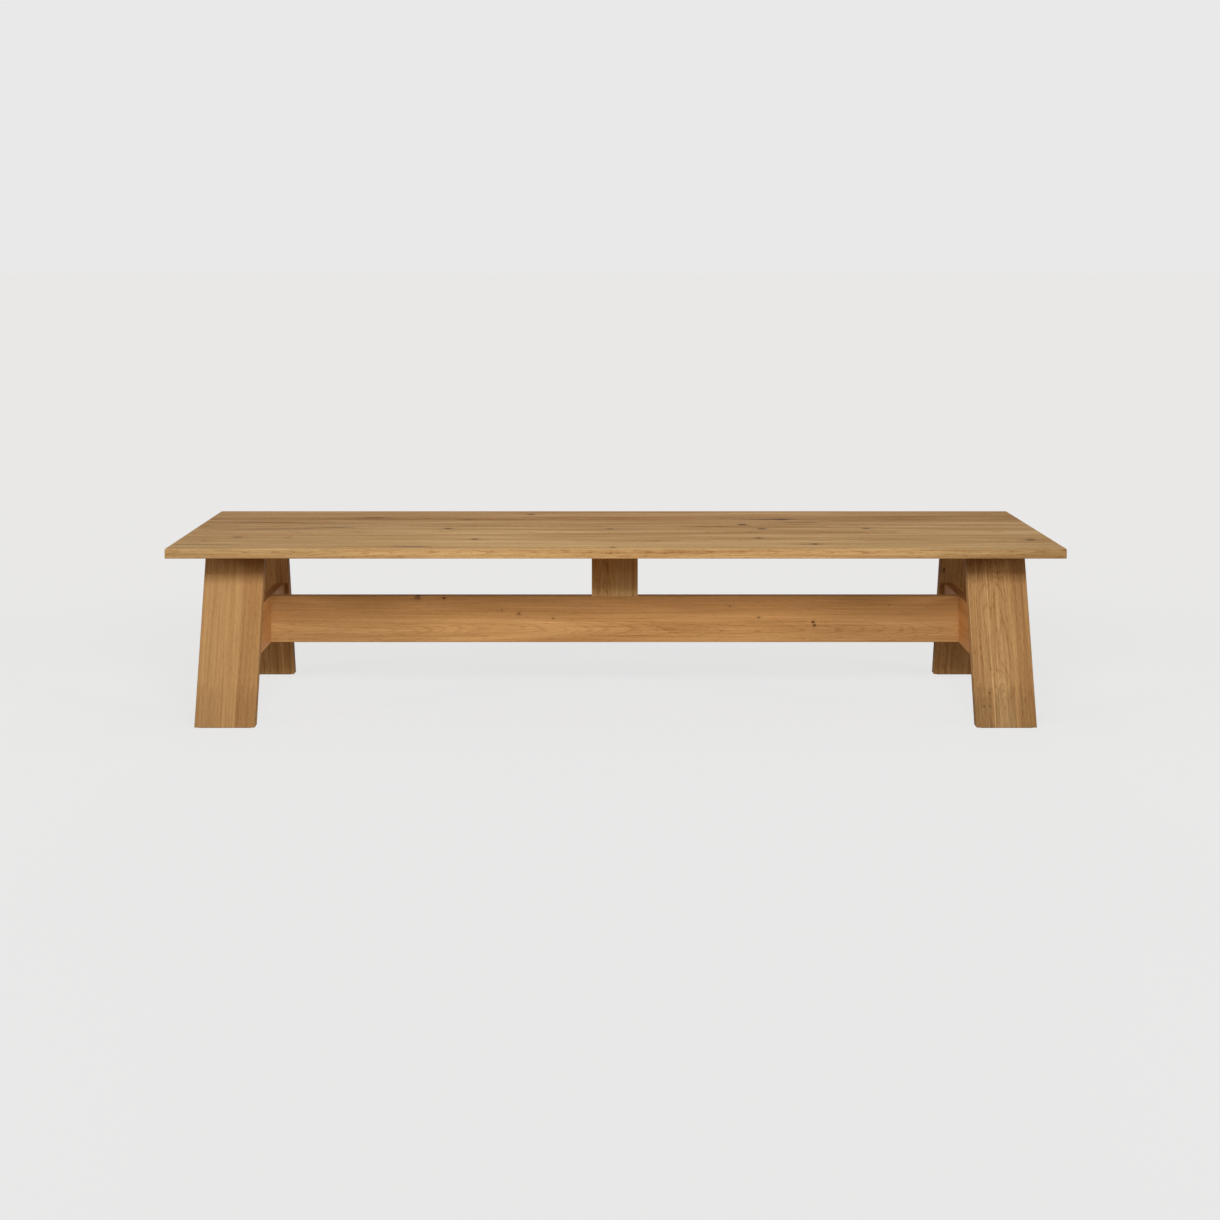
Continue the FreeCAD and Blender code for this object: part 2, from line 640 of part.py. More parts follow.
sheet = make_sheet()
make_stretcher_fixings()
insert_spots = make_top_fixings()
make_splines()
make_felts()
for plank_number in range(len(PLANK_ROW)):
    make_plank(plank_number, insert_spots)
for end_name in ENDS:
    for face_name in FACES:
        for stave_number in range(len(STAVES)):
            make_stave(end_name, face_name, stave_number)
    for board_level in LEVELS:
        make_crosspiece_board(end_name, board_level)
    make_bearer(end_name)
    make_post_stave(end_name)
for board_level in LEVELS:
    make_stretcher_board(board_level)
check_and_write()
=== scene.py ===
"""A trestle dining table of oiled oak boards, with its fixings and felts, in a plain pale studio."""

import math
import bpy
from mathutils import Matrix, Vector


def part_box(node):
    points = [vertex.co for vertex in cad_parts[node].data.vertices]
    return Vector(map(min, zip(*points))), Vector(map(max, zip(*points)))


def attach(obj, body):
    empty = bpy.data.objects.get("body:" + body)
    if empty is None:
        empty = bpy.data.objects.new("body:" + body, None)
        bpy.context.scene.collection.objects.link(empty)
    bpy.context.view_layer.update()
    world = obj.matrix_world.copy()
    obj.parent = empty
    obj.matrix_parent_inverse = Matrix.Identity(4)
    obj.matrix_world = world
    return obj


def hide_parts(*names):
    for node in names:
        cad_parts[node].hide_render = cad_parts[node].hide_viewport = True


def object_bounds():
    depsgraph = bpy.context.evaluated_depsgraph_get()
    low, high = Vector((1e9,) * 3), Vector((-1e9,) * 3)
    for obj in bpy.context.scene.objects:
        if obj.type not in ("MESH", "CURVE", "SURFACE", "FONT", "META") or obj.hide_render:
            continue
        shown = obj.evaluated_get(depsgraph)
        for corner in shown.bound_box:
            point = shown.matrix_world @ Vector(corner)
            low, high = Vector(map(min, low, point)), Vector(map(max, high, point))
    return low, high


bl_info = {
    "name": "Trestle Dining Table",
    "version": (1, 0, 0),
    "blender": (4, 5, 0),
    "location": "View3D > Sidebar > Table",
    "description": "Finishes the boards, fixings and felts of a trestle dining table in a pale studio",
    "category": "Object",
}

from typing import NamedTuple

import bmesh
import bpy
from bpy.props import FloatProperty, FloatVectorProperty, PointerProperty
from mathutils import Matrix, Vector

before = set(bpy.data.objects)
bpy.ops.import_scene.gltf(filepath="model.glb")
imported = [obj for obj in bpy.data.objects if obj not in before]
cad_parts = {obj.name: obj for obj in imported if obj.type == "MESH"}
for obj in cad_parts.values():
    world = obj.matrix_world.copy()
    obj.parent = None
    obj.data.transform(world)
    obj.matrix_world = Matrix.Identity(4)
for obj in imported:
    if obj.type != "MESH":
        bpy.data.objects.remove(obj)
cad_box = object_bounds()
TABLE_MIDDLE = (cad_box[0] + cad_box[1]) / 2

# The lean of the legs from upright, as the joinery is cut
LEG_LEAN = math.radians(15.5)

# Directions of a board: along its grain, across its show face and through its thickness
ALONG_TABLE = ((1, 0, 0), (0, 1, 0), (0, 0, 1))
STRETCHER_WAY = ((1, 0, 0), (0, 0, 1), (0, -1, 0))
ACROSS_TABLE = ((0, 1, 0), (0, 0, 1), (1, 0, 0))
UPRIGHT = ((0, 0, 1), (1, 0, 0), (0, 1, 0))
FRONT_LEG_WAY = ((0, math.sin(LEG_LEAN), math.cos(LEG_LEAN)), (1, 0, 0),
                 (0, math.cos(LEG_LEAN), -math.sin(LEG_LEAN)))
REAR_LEG_WAY = ((0, -math.sin(LEG_LEAN), math.cos(LEG_LEAN)), (1, 0, 0),
                (0, math.cos(LEG_LEAN), math.sin(LEG_LEAN)))

# Corners nearer than this, in metres, lie in one place
SAME_PLACE = 1e-5

# Faces that meet at a smaller angle than this are shaded as one
SMOOTH_ANGLE = math.radians(35)

# Width and depth of the slot that a barrel nut is turned by
NUT_SLOT = 0.0025

# The far lamps at the sides and behind: how far round from the front, how far up, and how wide they look
SIDE_TURN = math.radians(65)
SIDE_RISE = math.radians(12)
REAR_TURN = math.radians(180)
REAR_RISE = math.radians(20)
FAR_LAMP_ANGLE = math.radians(12)

# Colours of the far lamps, of the light from all round and of the light that the floor throws back
FAR_LAMP_COLOUR = (1.0, 0.95, 0.88)
AMBIENT_COLOUR = (1.0, 0.86, 0.72)
BOUNCE_COLOUR = (0.34, 0.225, 0.14)

# The share of the floor's brightness that the table can shade
SHADED_SHARE = 0.11

# Sockets of the colour mixing node, by number
MIX_FACTOR, MIX_FIRST, MIX_SECOND, MIX_RESULT = 0, 6, 7, 2

# How often the figure of the oak changes in a metre: along the grain, across it and through the board
ROAM = (0.9, 4.0, 4.0)
RIPPLE = (9.0, 40.0, 40.0)
BROAD_BANDS = (0.9, 13.0, 13.0)
STREAKS = (1.5, 60.0, 60.0)
FINE_LINES = (2.2, 125.0, 125.0)
DASHES = (38.0, 230.0, 230.0)
PORES = (75.0, 1500.0, 1500.0)
RAGGED_RIM = (22.0, 110.0, 110.0)
KNOT_FIBRES = (14.0, 330.0, 330.0)

# How often the rays change along the grain, round the heart and out from it
RAYS = (32.0, 95.0, 60.0)

# How far apart the figures of two boards lie, for each step of the seed
SEED_STEP = (3.17, 1.91, 2.53)

# How often the looks of the metal, the felt and the beech change in a metre
LATHE_LINES = 2600.0
DULL_SPOTS = (210.0, 210.0, 210.0)
FELT_FIBRES = (1500.0, 1500.0, 1500.0)
FELT_MOTTLE = (160.0, 160.0, 160.0)
BEECH_GRAIN = (3.0, 220.0, 220.0)
BEECH_FLECKS = (190.0, 1100.0, 1100.0)


class Mark(NamedTuple):
    """A knot or a streak on the face of a board: its middle and its half sizes, in metres.

    The depth says how dark it is, or below 0 how pale. The slope turns it off the grain, and the swirl
    bends the rings round it.
    """
    along: float
    across: float
    half_length: float
    half_width: float
    depth: float
    slope: float = 0.0
    swirl: float = 1.0


class Board(NamedTuple):
    """How one board was sawn and how it has coloured.

    Tone and warmth set its colour. The heart of the trunk lies so far across and through the board, in
    metres, and taper and wander say how the rings widen and sway along it. Bands and figure say how
    strongly the broad bands and the fine grain show, and sheen how much it shines.
    """
    tone: float
    warmth: float
    heart: tuple
    taper: float = 0.012
    wander: float = 0.03
    bands: float = 1.0
    figure: float = 1.0
    sheen: float = 0.08
    marks: tuple = ()


class Softbox(NamedTuple):
    """A rectangular lamp that is turned to the middle of the table: power in watts, sizes in metres."""
    name: str
    power: float
    place: Vector
    width: float
    height: float

    def way(self):
        """The direction from the middle of the table to the lamp."""
        return (self.place - TABLE_MIDDLE).normalized()


class FarLamp(NamedTuple):
    """A lamp so far away that its rays run side by side, turned from the front and raised."""
    name: str
    strength: float
    turn: float
    rise: float
    gloss: bool = True

    def way(self):
        """The direction from the table to the lamp."""
        flat = math.cos(self.rise)
        return Vector((math.sin(self.turn) * flat, -math.cos(self.turn) * flat, math.sin(self.rise)))


def knot(along, across, radius, depth=0.9):
    """A knot, a little longer than wide, with the grain bent round it."""
    return Mark(along, across, 1.2 * radius, radius, depth)


def streak(along, across, half_length, half_width, depth=0.4, slope=0.0):
    """A streak along the grain, dark or with a depth below 0 pale."""
    return Mark(along, across, half_length, half_width, depth, slope, 0.0)


def arches(along, half_length, half_width, rise):
    """Nested arches of the rings in the middle of a board, without a dark core."""
    return Mark(along, 0.0, half_length, half_width, 0.0, 0.0, rise / half_width)


# The planks of the top, 1 at the rear edge and 7 at the front edge
PLANKS = {
    "top_plank_1": Board(0.97, 0.00, (0.10, -0.05), bands=0.7, marks=(
        streak(0.0, 0.0, 0.7, 0.08, -0.15), knot(-0.382, -0.013, 0.018),
        streak(1.35, -0.06, 0.35, 0.012, 0.35, -0.03))),
    "top_plank_2": Board(0.83, 0.5, (0.01, -0.14), marks=(
        streak(-1.083, 0.028, 0.06, 0.013, 0.75), knot(-0.661, -0.03, 0.014, 0.5),
        streak(0.70, -0.022, 0.14, 0.013, 0.80), knot(0.752, -0.024, 0.020, 0.95))),
    "top_plank_3": Board(0.97, -0.05, (-0.06, -0.05), marks=(
        streak(-1.45, 0.005, 0.45, 0.008, 0.5, -0.06), streak(-0.95, -0.03, 0.30, 0.006, 0.4, -0.02),
        streak(0.834, 0.018, 0.10, 0.011, 0.75), knot(0.565, -0.044, 0.019, 0.95),
        streak(1.25, 0.0, 0.6, 0.06, -0.2))),
    "top_plank_4": Board(0.98, -0.10, (0.03, 0.12), marks=(
        streak(-1.25, 0.0, 0.14, 0.009, 0.8, 0.12), streak(-1.52, -0.037, 0.22, 0.007, 0.6, 0.03),
        knot(-0.726, -0.026, 0.015), knot(-0.02, -0.036, 0.014, 0.6), streak(0.10, -0.034, 0.12, 0.005),
        knot(0.640, -0.036, 0.018), knot(1.098, -0.024, 0.015, 0.8))),
    "top_plank_5": Board(1.01, -0.15, (0.02, -0.20), bands=0.6),
    "top_plank_6": Board(0.98, -0.10, (-0.03, -0.10), bands=0.8, marks=(
        knot(-1.596, 0.052, 0.016, 0.5), knot(-1.382, 0.045, 0.015, 0.4),
        knot(-0.590, 0.007, 0.014, 0.8), knot(0.604, 0.032, 0.013), knot(1.738, -0.009, 0.018, 0.75))),
    "top_plank_7": Board(1.06, -0.42, (-0.098, 0.004), 0.02, bands=0.4, marks=(
        streak(-1.70, 0.03, 0.18, 0.01, 0.35), streak(-0.834, -0.017, 0.09, 0.012, 0.6),
        knot(-0.01, -0.033, 0.013, 0.7), streak(0.79, 0.037, 0.07, 0.008, 0.5), knot(0.823, 0.041, 0.014),
        # Painted shade: the two broad dark streaks below darken the ends of the front edge, where less of
        # the front softbox's light reaches them
        streak(-1.50, -0.080, 0.45, 0.030, 0.14), streak(1.58, -0.080, 0.45, 0.030, 0.22))),
}

# Painted shade that darkens a leg towards the floor, where less light reaches it
PAINTED_FOOT_SHADE = streak(-0.40, 0.0, 0.20, 0.40, 0.20)
LIGHT_PAINTED_FOOT_SHADE = PAINTED_FOOT_SHADE._replace(depth=0.10)
STRONG_PAINTED_FOOT_SHADE = PAINTED_FOOT_SHADE._replace(depth=0.36)

# Painted shade that darkens the head of a leg, where the overhang of the top shades it
PAINTED_HEAD_SHADE = streak(0.37, 0.0, 0.11, 0.40, 0.18)
TALL_PAINTED_HEAD_SHADE = PAINTED_HEAD_SHADE._replace(half_length=0.30)

# The front legs below carry painted shade at their feet and at their heads under the top
FRONT_LEGS = {
    "left_front_leg_outer_stave": Board(0.99, 0.02, (0.25, 0.12), bands=0.12, figure=0.7, marks=(
        PAINTED_FOOT_SHADE, PAINTED_HEAD_SHADE)),
    "left_front_leg_middle_stave": Board(1.00, 0.05, (-0.22, 0.15), bands=0.12, figure=0.7, marks=(
        LIGHT_PAINTED_FOOT_SHADE, PAINTED_HEAD_SHADE)),
    "left_front_leg_inner_stave": Board(0.89, 0.36, (0.2, 0.2), bands=0.15, figure=0.7, marks=(
        PAINTED_FOOT_SHADE, PAINTED_HEAD_SHADE)),
    "right_front_leg_inner_stave": Board(0.87, 0.12, (0.03, 0.10), bands=0.3, marks=(
        STRONG_PAINTED_FOOT_SHADE, PAINTED_HEAD_SHADE, knot(-0.283, -0.005, 0.0042, 0.35), knot(-0.285, 0.018, 0.0040, 0.35),
        knot(-0.232, 0.019, 0.0036, 0.35), knot(-0.137, 0.033, 0.0036, 0.5),
        streak(-0.07, 0.030, 0.08, 0.006, 0.3), streak(0.0, 0.037, 0.5, 0.005, -0.6))),
    "right_front_leg_middle_stave": Board(1.00, -0.15, (0.0, 0.12), 0.004, bands=0.3, marks=(
        STRONG_PAINTED_FOOT_SHADE, PAINTED_HEAD_SHADE, arches(0.42, 0.045, 0.009, 0.025), arches(-0.36, 0.060, 0.010, 0.025))),
    "right_front_leg_outer_stave": Board(0.80, 0.32, (-0.05, 0.10), 0.02, bands=0.3, marks=(
        PAINTED_FOOT_SHADE, PAINTED_HEAD_SHADE, streak(0.0, -0.034, 0.5, 0.007, -0.3))),
}

# The right rear legs below carry painted shade at their heads under the top
REAR_LEGS = {
    "left_rear_leg_outer_stave": Board(1.03, 0.00, (0.2, 0.1), bands=0.3),
    "left_rear_leg_middle_stave": Board(1.08, 0.00, (0.0, 0.08), 0.02, bands=0.3),
    "left_rear_leg_inner_stave": Board(1.08, 0.15, (-0.1, 0.1), bands=0.4),
    "right_rear_leg_inner_stave": Board(0.99, 0.1, (0.0, 0.07), 0.03, bands=0.4, marks=(
        TALL_PAINTED_HEAD_SHADE, streak(0.17, -0.026, 0.014, 0.004, 0.9))),
    "right_rear_leg_middle_stave": Board(0.97, 0.1, (0.15, 0.1), bands=0.3, marks=(TALL_PAINTED_HEAD_SHADE,)),
    "right_rear_leg_outer_stave": Board(0.95, 0.1, (-0.2, 0.1), bands=0.3, marks=(TALL_PAINTED_HEAD_SHADE,)),
}

CROSSPIECES = {
    "left_crosspiece_lower_board": Board(1.03, 1.20, (0.3, 0.1), bands=0.3, figure=0.6, sheen=0.3),
    "left_crosspiece_upper_board": Board(1.03, 1.20, (0.3, 0.15), bands=0.3, figure=0.6, sheen=0.3),
    "right_crosspiece_lower_board": Board(0.97, 1.45, (0.3, -0.1), bands=0.3, figure=0.6, sheen=0.3),
    "right_crosspiece_upper_board": Board(0.97, 1.45, (0.3, -0.15), bands=0.3, figure=0.6, sheen=0.3),
}

STRETCHERS = {
    "stretcher_lower_board": Board(1.05, 0.42, (0.01, -0.075), 0.02, bands=0.2, figure=0.75, marks=(
        knot(0.862, 0.038, 0.0062, 0.95), knot(0.868, 0.023, 0.0058, 0.95),
        # Painted light: the broad pale streak below lightens the left end of the board, where the left
        # front leg shades it
        streak(-1.3, 0.0, 0.5, 0.06, -0.25))),
    "stretcher_upper_board": Board(1.03, 0.55, (-0.12, -0.12), bands=0.2, figure=0.6, marks=(
        knot(-0.858, 0.045, 0.012, 0.6), knot(-0.742, 0.042, 0.006, 0.8), knot(-0.417, -0.026, 0.007, 0.6),
        knot(-0.49, -0.01, 0.004, 0.5), knot(-0.267, -0.048, 0.006, 0.6), knot(0.5, 0.007, 0.004, 0.5),
        knot(0.625, -0.043, 0.006, 0.5), knot(1.192, 0.012, 0.004, 0.5),
        streak(-0.45, 0.0, 0.4, 0.06, 0.08))),
}

POSTS = {
    "post_left_stave": Board(1.25, -0.25, (0.02, 0.12), bands=0.4),
    "post_right_stave": Board(1.26, -0.55, (-0.15, 0.1), bands=0.4),
}

BEARERS = {
    "left_bearer": Board(0.95, 0.3, (0.05, 0.06), bands=0.5),
    "right_bearer": Board(0.95, 0.4, (-0.05, 0.06), bands=0.5),
}


class OakSettings(bpy.types.PropertyGroup):
    """The oiled oak of all boards."""
    pale: FloatVectorProperty(
        name="Pale wood", description="Colour of the dense late growth", subtype="COLOR",
        default=(0.51, 0.310, 0.130), min=0, max=1)
    deep: FloatVectorProperty(
        name="Deep wood", description="Colour of the porous early growth", subtype="COLOR",
        default=(0.335, 0.174, 0.062), min=0, max=1)
    red_tint: FloatVectorProperty(
        name="Red tint", description="What the colours of the warmest boards are multiplied by",
        subtype="COLOR", default=(1.0, 0.83, 0.68), min=0, max=1)
    knot_tint: FloatVectorProperty(
        name="Knot tint", description="What the colours of knots and dark streaks are multiplied by",
        subtype="COLOR", default=(0.18, 0.13, 0.13), min=0, max=1)
    ring_spacing: FloatProperty(
        name="Ring spacing", description="Mean width of a year's growth", subtype="DISTANCE", unit="LENGTH",
        default=0.0027, min=0.001)
    pore_depth: FloatProperty(
        name="Pore depth", description="Depth of the open pores", subtype="DISTANCE", unit="LENGTH",
        default=0.0004, min=0)


class FixingSettings(bpy.types.PropertyGroup):
    """The bolts, nuts and inserts, and the felts under the feet."""
    bolt_head: FloatProperty(
        name="Bolt head", description="Diameter of the stretcher bolts' heads", subtype="DISTANCE",
        unit="LENGTH", default=0.024, min=0.001)
    bolt_head_height: FloatProperty(
        name="Bolt head height", description="Height of the stretcher bolts' heads", subtype="DISTANCE",
        unit="LENGTH", default=0.004, min=0.001)
    bolt_shank: FloatProperty(
        name="Bolt shank", description="Diameter of the stretcher bolts' shanks", subtype="DISTANCE",
        unit="LENGTH", default=0.010, min=0.001)
    bolt_reach: FloatProperty(
        name="Bolt reach", description="Length of the stretcher bolts under their heads",
        subtype="DISTANCE", unit="LENGTH", default=0.097, min=0.001)
    bolt_key: FloatProperty(
        name="Bolt key", description="Size across the flats of the stretcher bolts' sockets",
        subtype="DISTANCE", unit="LENGTH", default=0.006, min=0.001)
    top_bolt_head: FloatProperty(
        name="Top bolt head", description="Diameter of the bearer bolts' heads", subtype="DISTANCE",
        unit="LENGTH", default=0.020, min=0.001)
    top_bolt_head_height: FloatProperty(
        name="Top bolt head height", description="Height of the bearer bolts' heads", subtype="DISTANCE",
        unit="LENGTH", default=0.0035, min=0.001)
    top_bolt_shank: FloatProperty(
        name="Top bolt shank", description="Diameter of the bearer bolts' shanks", subtype="DISTANCE",
        unit="LENGTH", default=0.008, min=0.001)
    top_bolt_key: FloatProperty(
        name="Top bolt key", description="Size across the flats of the bearer bolts' sockets",
        subtype="DISTANCE", unit="LENGTH", default=0.005, min=0.001)
    barrel: FloatProperty(
        name="Barrel nut", description="Diameter of the barrel nuts", subtype="DISTANCE", unit="LENGTH",
        default=0.016, min=0.001)
    felt_width: FloatProperty(
        name="Felt width", description="Width of the felt strips", subtype="DISTANCE", unit="LENGTH",
        default=0.036, min=0.001)
    felt_corner: FloatProperty(
        name="Felt corner", description="Radius of the felts' corners", subtype="DISTANCE", unit="LENGTH",
        default=0.006, min=0)
    steel: FloatVectorProperty(
        name="Steel", description="Colour of the plated and dulled bolts and nuts", subtype="COLOR",
        default=(0.20, 0.19, 0.18), min=0, max=1)
    brass: FloatVectorProperty(
        name="Brass", description="Colour of the inserts in the top", subtype="COLOR",
        default=(0.72, 0.56, 0.27), min=0, max=1)
    beech: FloatVectorProperty(
        name="Beech", description="Colour of the splines between the planks", subtype="COLOR",
        default=(0.62, 0.44, 0.27), min=0, max=1)
    felt: FloatVectorProperty(
        name="Felt", description="Colour of the felts under the feet", subtype="COLOR",
        default=(0.16, 0.13, 0.10), min=0, max=1)


class StageSettings(bpy.types.PropertyGroup):
    """The studio: backdrop, lamps and camera."""
    backdrop: FloatVectorProperty(
        name="Backdrop", description="Colour of the floor and of what lies behind it", subtype="COLOR",
        default=(0.815, 0.815, 0.815), min=0, max=1)
    ambient: FloatProperty(
        name="Ambient", description="Strength of the even light from all round", default=0.165, min=0)
    front_power: FloatProperty(
        name="Front power", description="Power of the wide softbox in front of the table", unit="POWER",
        default=168.0, min=0)
    front_place: FloatVectorProperty(
        name="Front place", description="Where the softbox in front hangs", subtype="TRANSLATION",
        unit="LENGTH", default=(0.0, -4.23, 3.0))
    top_power: FloatProperty(
        name="Top power", description="Power of the softbox over the table", unit="POWER",
        default=18.5, min=0)
    top_place: FloatVectorProperty(
        name="Top place", description="Where the softbox over the table hangs", subtype="TRANSLATION",
        unit="LENGTH", default=(0.0, 0.2, 3.9))
    side_light: FloatProperty(
        name="Side light", description="Strength of the two low lamps at the sides", default=1.9, min=0)
    rear_light: FloatProperty(
        name="Rear light", description="Strength of the low lamp behind the table", default=0.45, min=0)
    camera_place: FloatVectorProperty(
        name="Camera place", description="Where the camera stands", subtype="TRANSLATION", unit="LENGTH",
        default=(-0.0557, -6.809, 1.913))
    lens: FloatProperty(
        name="Lens", description="Focal length of the camera in millimetres", default=46.09, min=1)
    shift: FloatVectorProperty(
        name="Shift", description="Shift of the lens right and up, as shares of the picture's width",
        size=2, default=(0.0066, -0.2872))


class Wiring:
    """A node tree, with short ways to add nodes to it and to join them."""

    def __init__(self, tree):
        self.tree = tree

    def feed(self, inputs, values):
        """Gives each named or numbered input a plain value or another node's output."""
        for key, value in values.items():
            if isinstance(value, bpy.types.NodeSocket):
                self.tree.links.new(value, inputs[key])
            else:
                inputs[key].default_value = value

    def add(self, kind, values, **settings):
        """Adds a node with its settings, and feeds its inputs."""
        node = self.tree.nodes.new(kind)
        for name, value in settings.items():
            setattr(node, name, value)
        self.feed(node.inputs, values)
        return node

    def math(self, operation, *values):
        """The result of a sum on plain numbers."""
        return self.add("ShaderNodeMath", dict(enumerate(values)), operation=operation).outputs[0]

    def vector(self, operation, *values):
        """The result of a sum on vectors."""
        node = self.add("ShaderNodeVectorMath", dict(enumerate(values)), operation=operation)
        return node.outputs["Vector"]

    def length(self, vector):
        """The length of a vector."""
        return self.add("ShaderNodeVectorMath", {0: vector}, operation="LENGTH").outputs["Value"]

    def dot(self, first, second):
        """The dot product of two vectors."""
        values = {0: first, 1: second}
        return self.add("ShaderNodeVectorMath", values, operation="DOT_PRODUCT").outputs["Value"]

    def parts(self, vector):
        """The three parts of a vector."""
        return self.add("ShaderNodeSeparateXYZ", {0: vector}).outputs

    def place(self):
        """The place on the piece."""
        return self.add("ShaderNodeTexCoord", {}).outputs["Object"]

    def own_place(self, middle, turn):
        """The place on the piece, from its middle along its own directions."""
        values = {"Vector": self.place(), "Location": middle, "Rotation": turn.to_euler()}
        return self.add("ShaderNodeMapping", values, vector_type="TEXTURE").outputs[0]

    def noise(self, place, density, detail=2.0, fineness=0.5):
        """Noise with so many lumps to the metre each way: its value and its colour."""
        spread = self.vector("MULTIPLY", place, density)
        values = {"Vector": spread, "Scale": 1.0, "Detail": detail, "Roughness": fineness}
        return self.add("ShaderNodeTexNoise", values).outputs

    def push(self, place, density, detail=2.0, fineness=0.5):
        """Noise that pushes to all sides alike."""
        colour = self.noise(place, density, detail, fineness)[1]
        return self.vector("SUBTRACT", colour, (0.5, 0.5, 0.5))

    def line_noise(self, place, density, detail=2.0):
        """Noise along one line."""
        values = {"W": place, "Scale": density, "Detail": detail}
        return self.add("ShaderNodeTexNoise", values, noise_dimensions="1D").outputs[0]

    def ease(self, value, start, end):
        """A smooth rise from 0 at the start to 1 at the end."""
        values = {"Value": value, "From Min": start, "From Max": end}
        return self.add("ShaderNodeMapRange", values, interpolation_type="SMOOTHSTEP").outputs[0]

    def blend(self, factor, first, second, held=True):
        """One colour mixed with another, held between the two or not."""
        values = {MIX_FACTOR: factor, MIX_FIRST: first, MIX_SECOND: second}
        node = self.add("ShaderNodeMix", values, data_type="RGBA", clamp_factor=held)
        return node.outputs[MIX_RESULT]

    def bump(self, height, strength, depth):
        """The direction of the face, tilted by a relief of so many metres."""
        values = {"Height": height, "Strength": strength, "Distance": depth}
        return self.add("ShaderNodeBump", values).outputs[0]

    def mix(self, factor, first, second):
        """One shader mixed with another."""
        values = {0: factor, 1: first.outputs[0], 2: second.outputs[0]}
        return self.add("ShaderNodeMixShader", values)


def new_group(name, inputs, outputs):
    """An empty node group: its wiring, what it is given and what it gives back."""
    tree = bpy.data.node_groups.new(name, "ShaderNodeTree")
    for names, way in ((inputs, "INPUT"), (outputs, "OUTPUT")):
        for socket, kind in names.items():
            tree.interface.new_socket(socket, in_out=way, socket_type=f"NodeSocket{kind}")
    given = tree.nodes.new("NodeGroupInput").outputs
    taken = tree.nodes.new("NodeGroupOutput").inputs
    return Wiring(tree), given, taken


def rgba(colour):
    """A colour with its alpha."""
    return (*colour, 1.0)


def mark_group():
    """The knot or streak: how far it bends the rings round it, and how dark or pale it is."""
    if "oak_mark" in bpy.data.node_groups:
        return bpy.data.node_groups["oak_mark"]
    inputs = {"Place": "Vector", "Middle": "Vector", "Density": "Vector", "Slope": "Float",
              "Swirl": "Float", "Depth": "Float", "Bend": "Float", "Dark": "Float"}
    wiring, given, taken = new_group("oak_mark", inputs, {"Bend": "Float", "Dark": "Float"})
    offset = wiring.vector("SUBTRACT", given["Place"], given["Middle"])
    drift = wiring.math("MULTIPLY", wiring.parts(offset)[0], given["Slope"])
    sloped = wiring.vector("SUBTRACT", offset, wiring.vector("MULTIPLY", drift, (0, 1, 0)))
    apart = wiring.length(wiring.vector("MULTIPLY", sloped, given["Density"]))

    # The core with its ragged rim, the faint halo round it and the fibres in both
    ragged = wiring.noise(given["Place"], RAGGED_RIM, 3.0)[0]
    reach = wiring.math("ADD", apart, wiring.math("MULTIPLY_ADD", ragged, 1.2, -0.6))
    core = wiring.ease(reach, 1.15, 0.65)
    halo = wiring.math("MULTIPLY", wiring.ease(reach, 3.0, 0.3), 0.25)
    fibres = wiring.ease(wiring.noise(given["Place"], KNOT_FIBRES, 3.0, 0.6)[0], 0.3, 0.6)
    patchy = wiring.math("MULTIPLY_ADD", fibres, 0.6, 0.6)
    patchy = wiring.math("MULTIPLY", wiring.math("MAXIMUM", core, halo), patchy)
    dark = wiring.math("MULTIPLY_ADD", patchy, given["Depth"], given["Dark"])

    # The rings, pushed aside round the core
    push = wiring.math("MULTIPLY", wiring.ease(apart, 5.0, 0.0), given["Swirl"])
    wiring.feed(taken, {"Bend": wiring.math("ADD", push, given["Bend"]), "Dark": dark})
    return wiring.tree


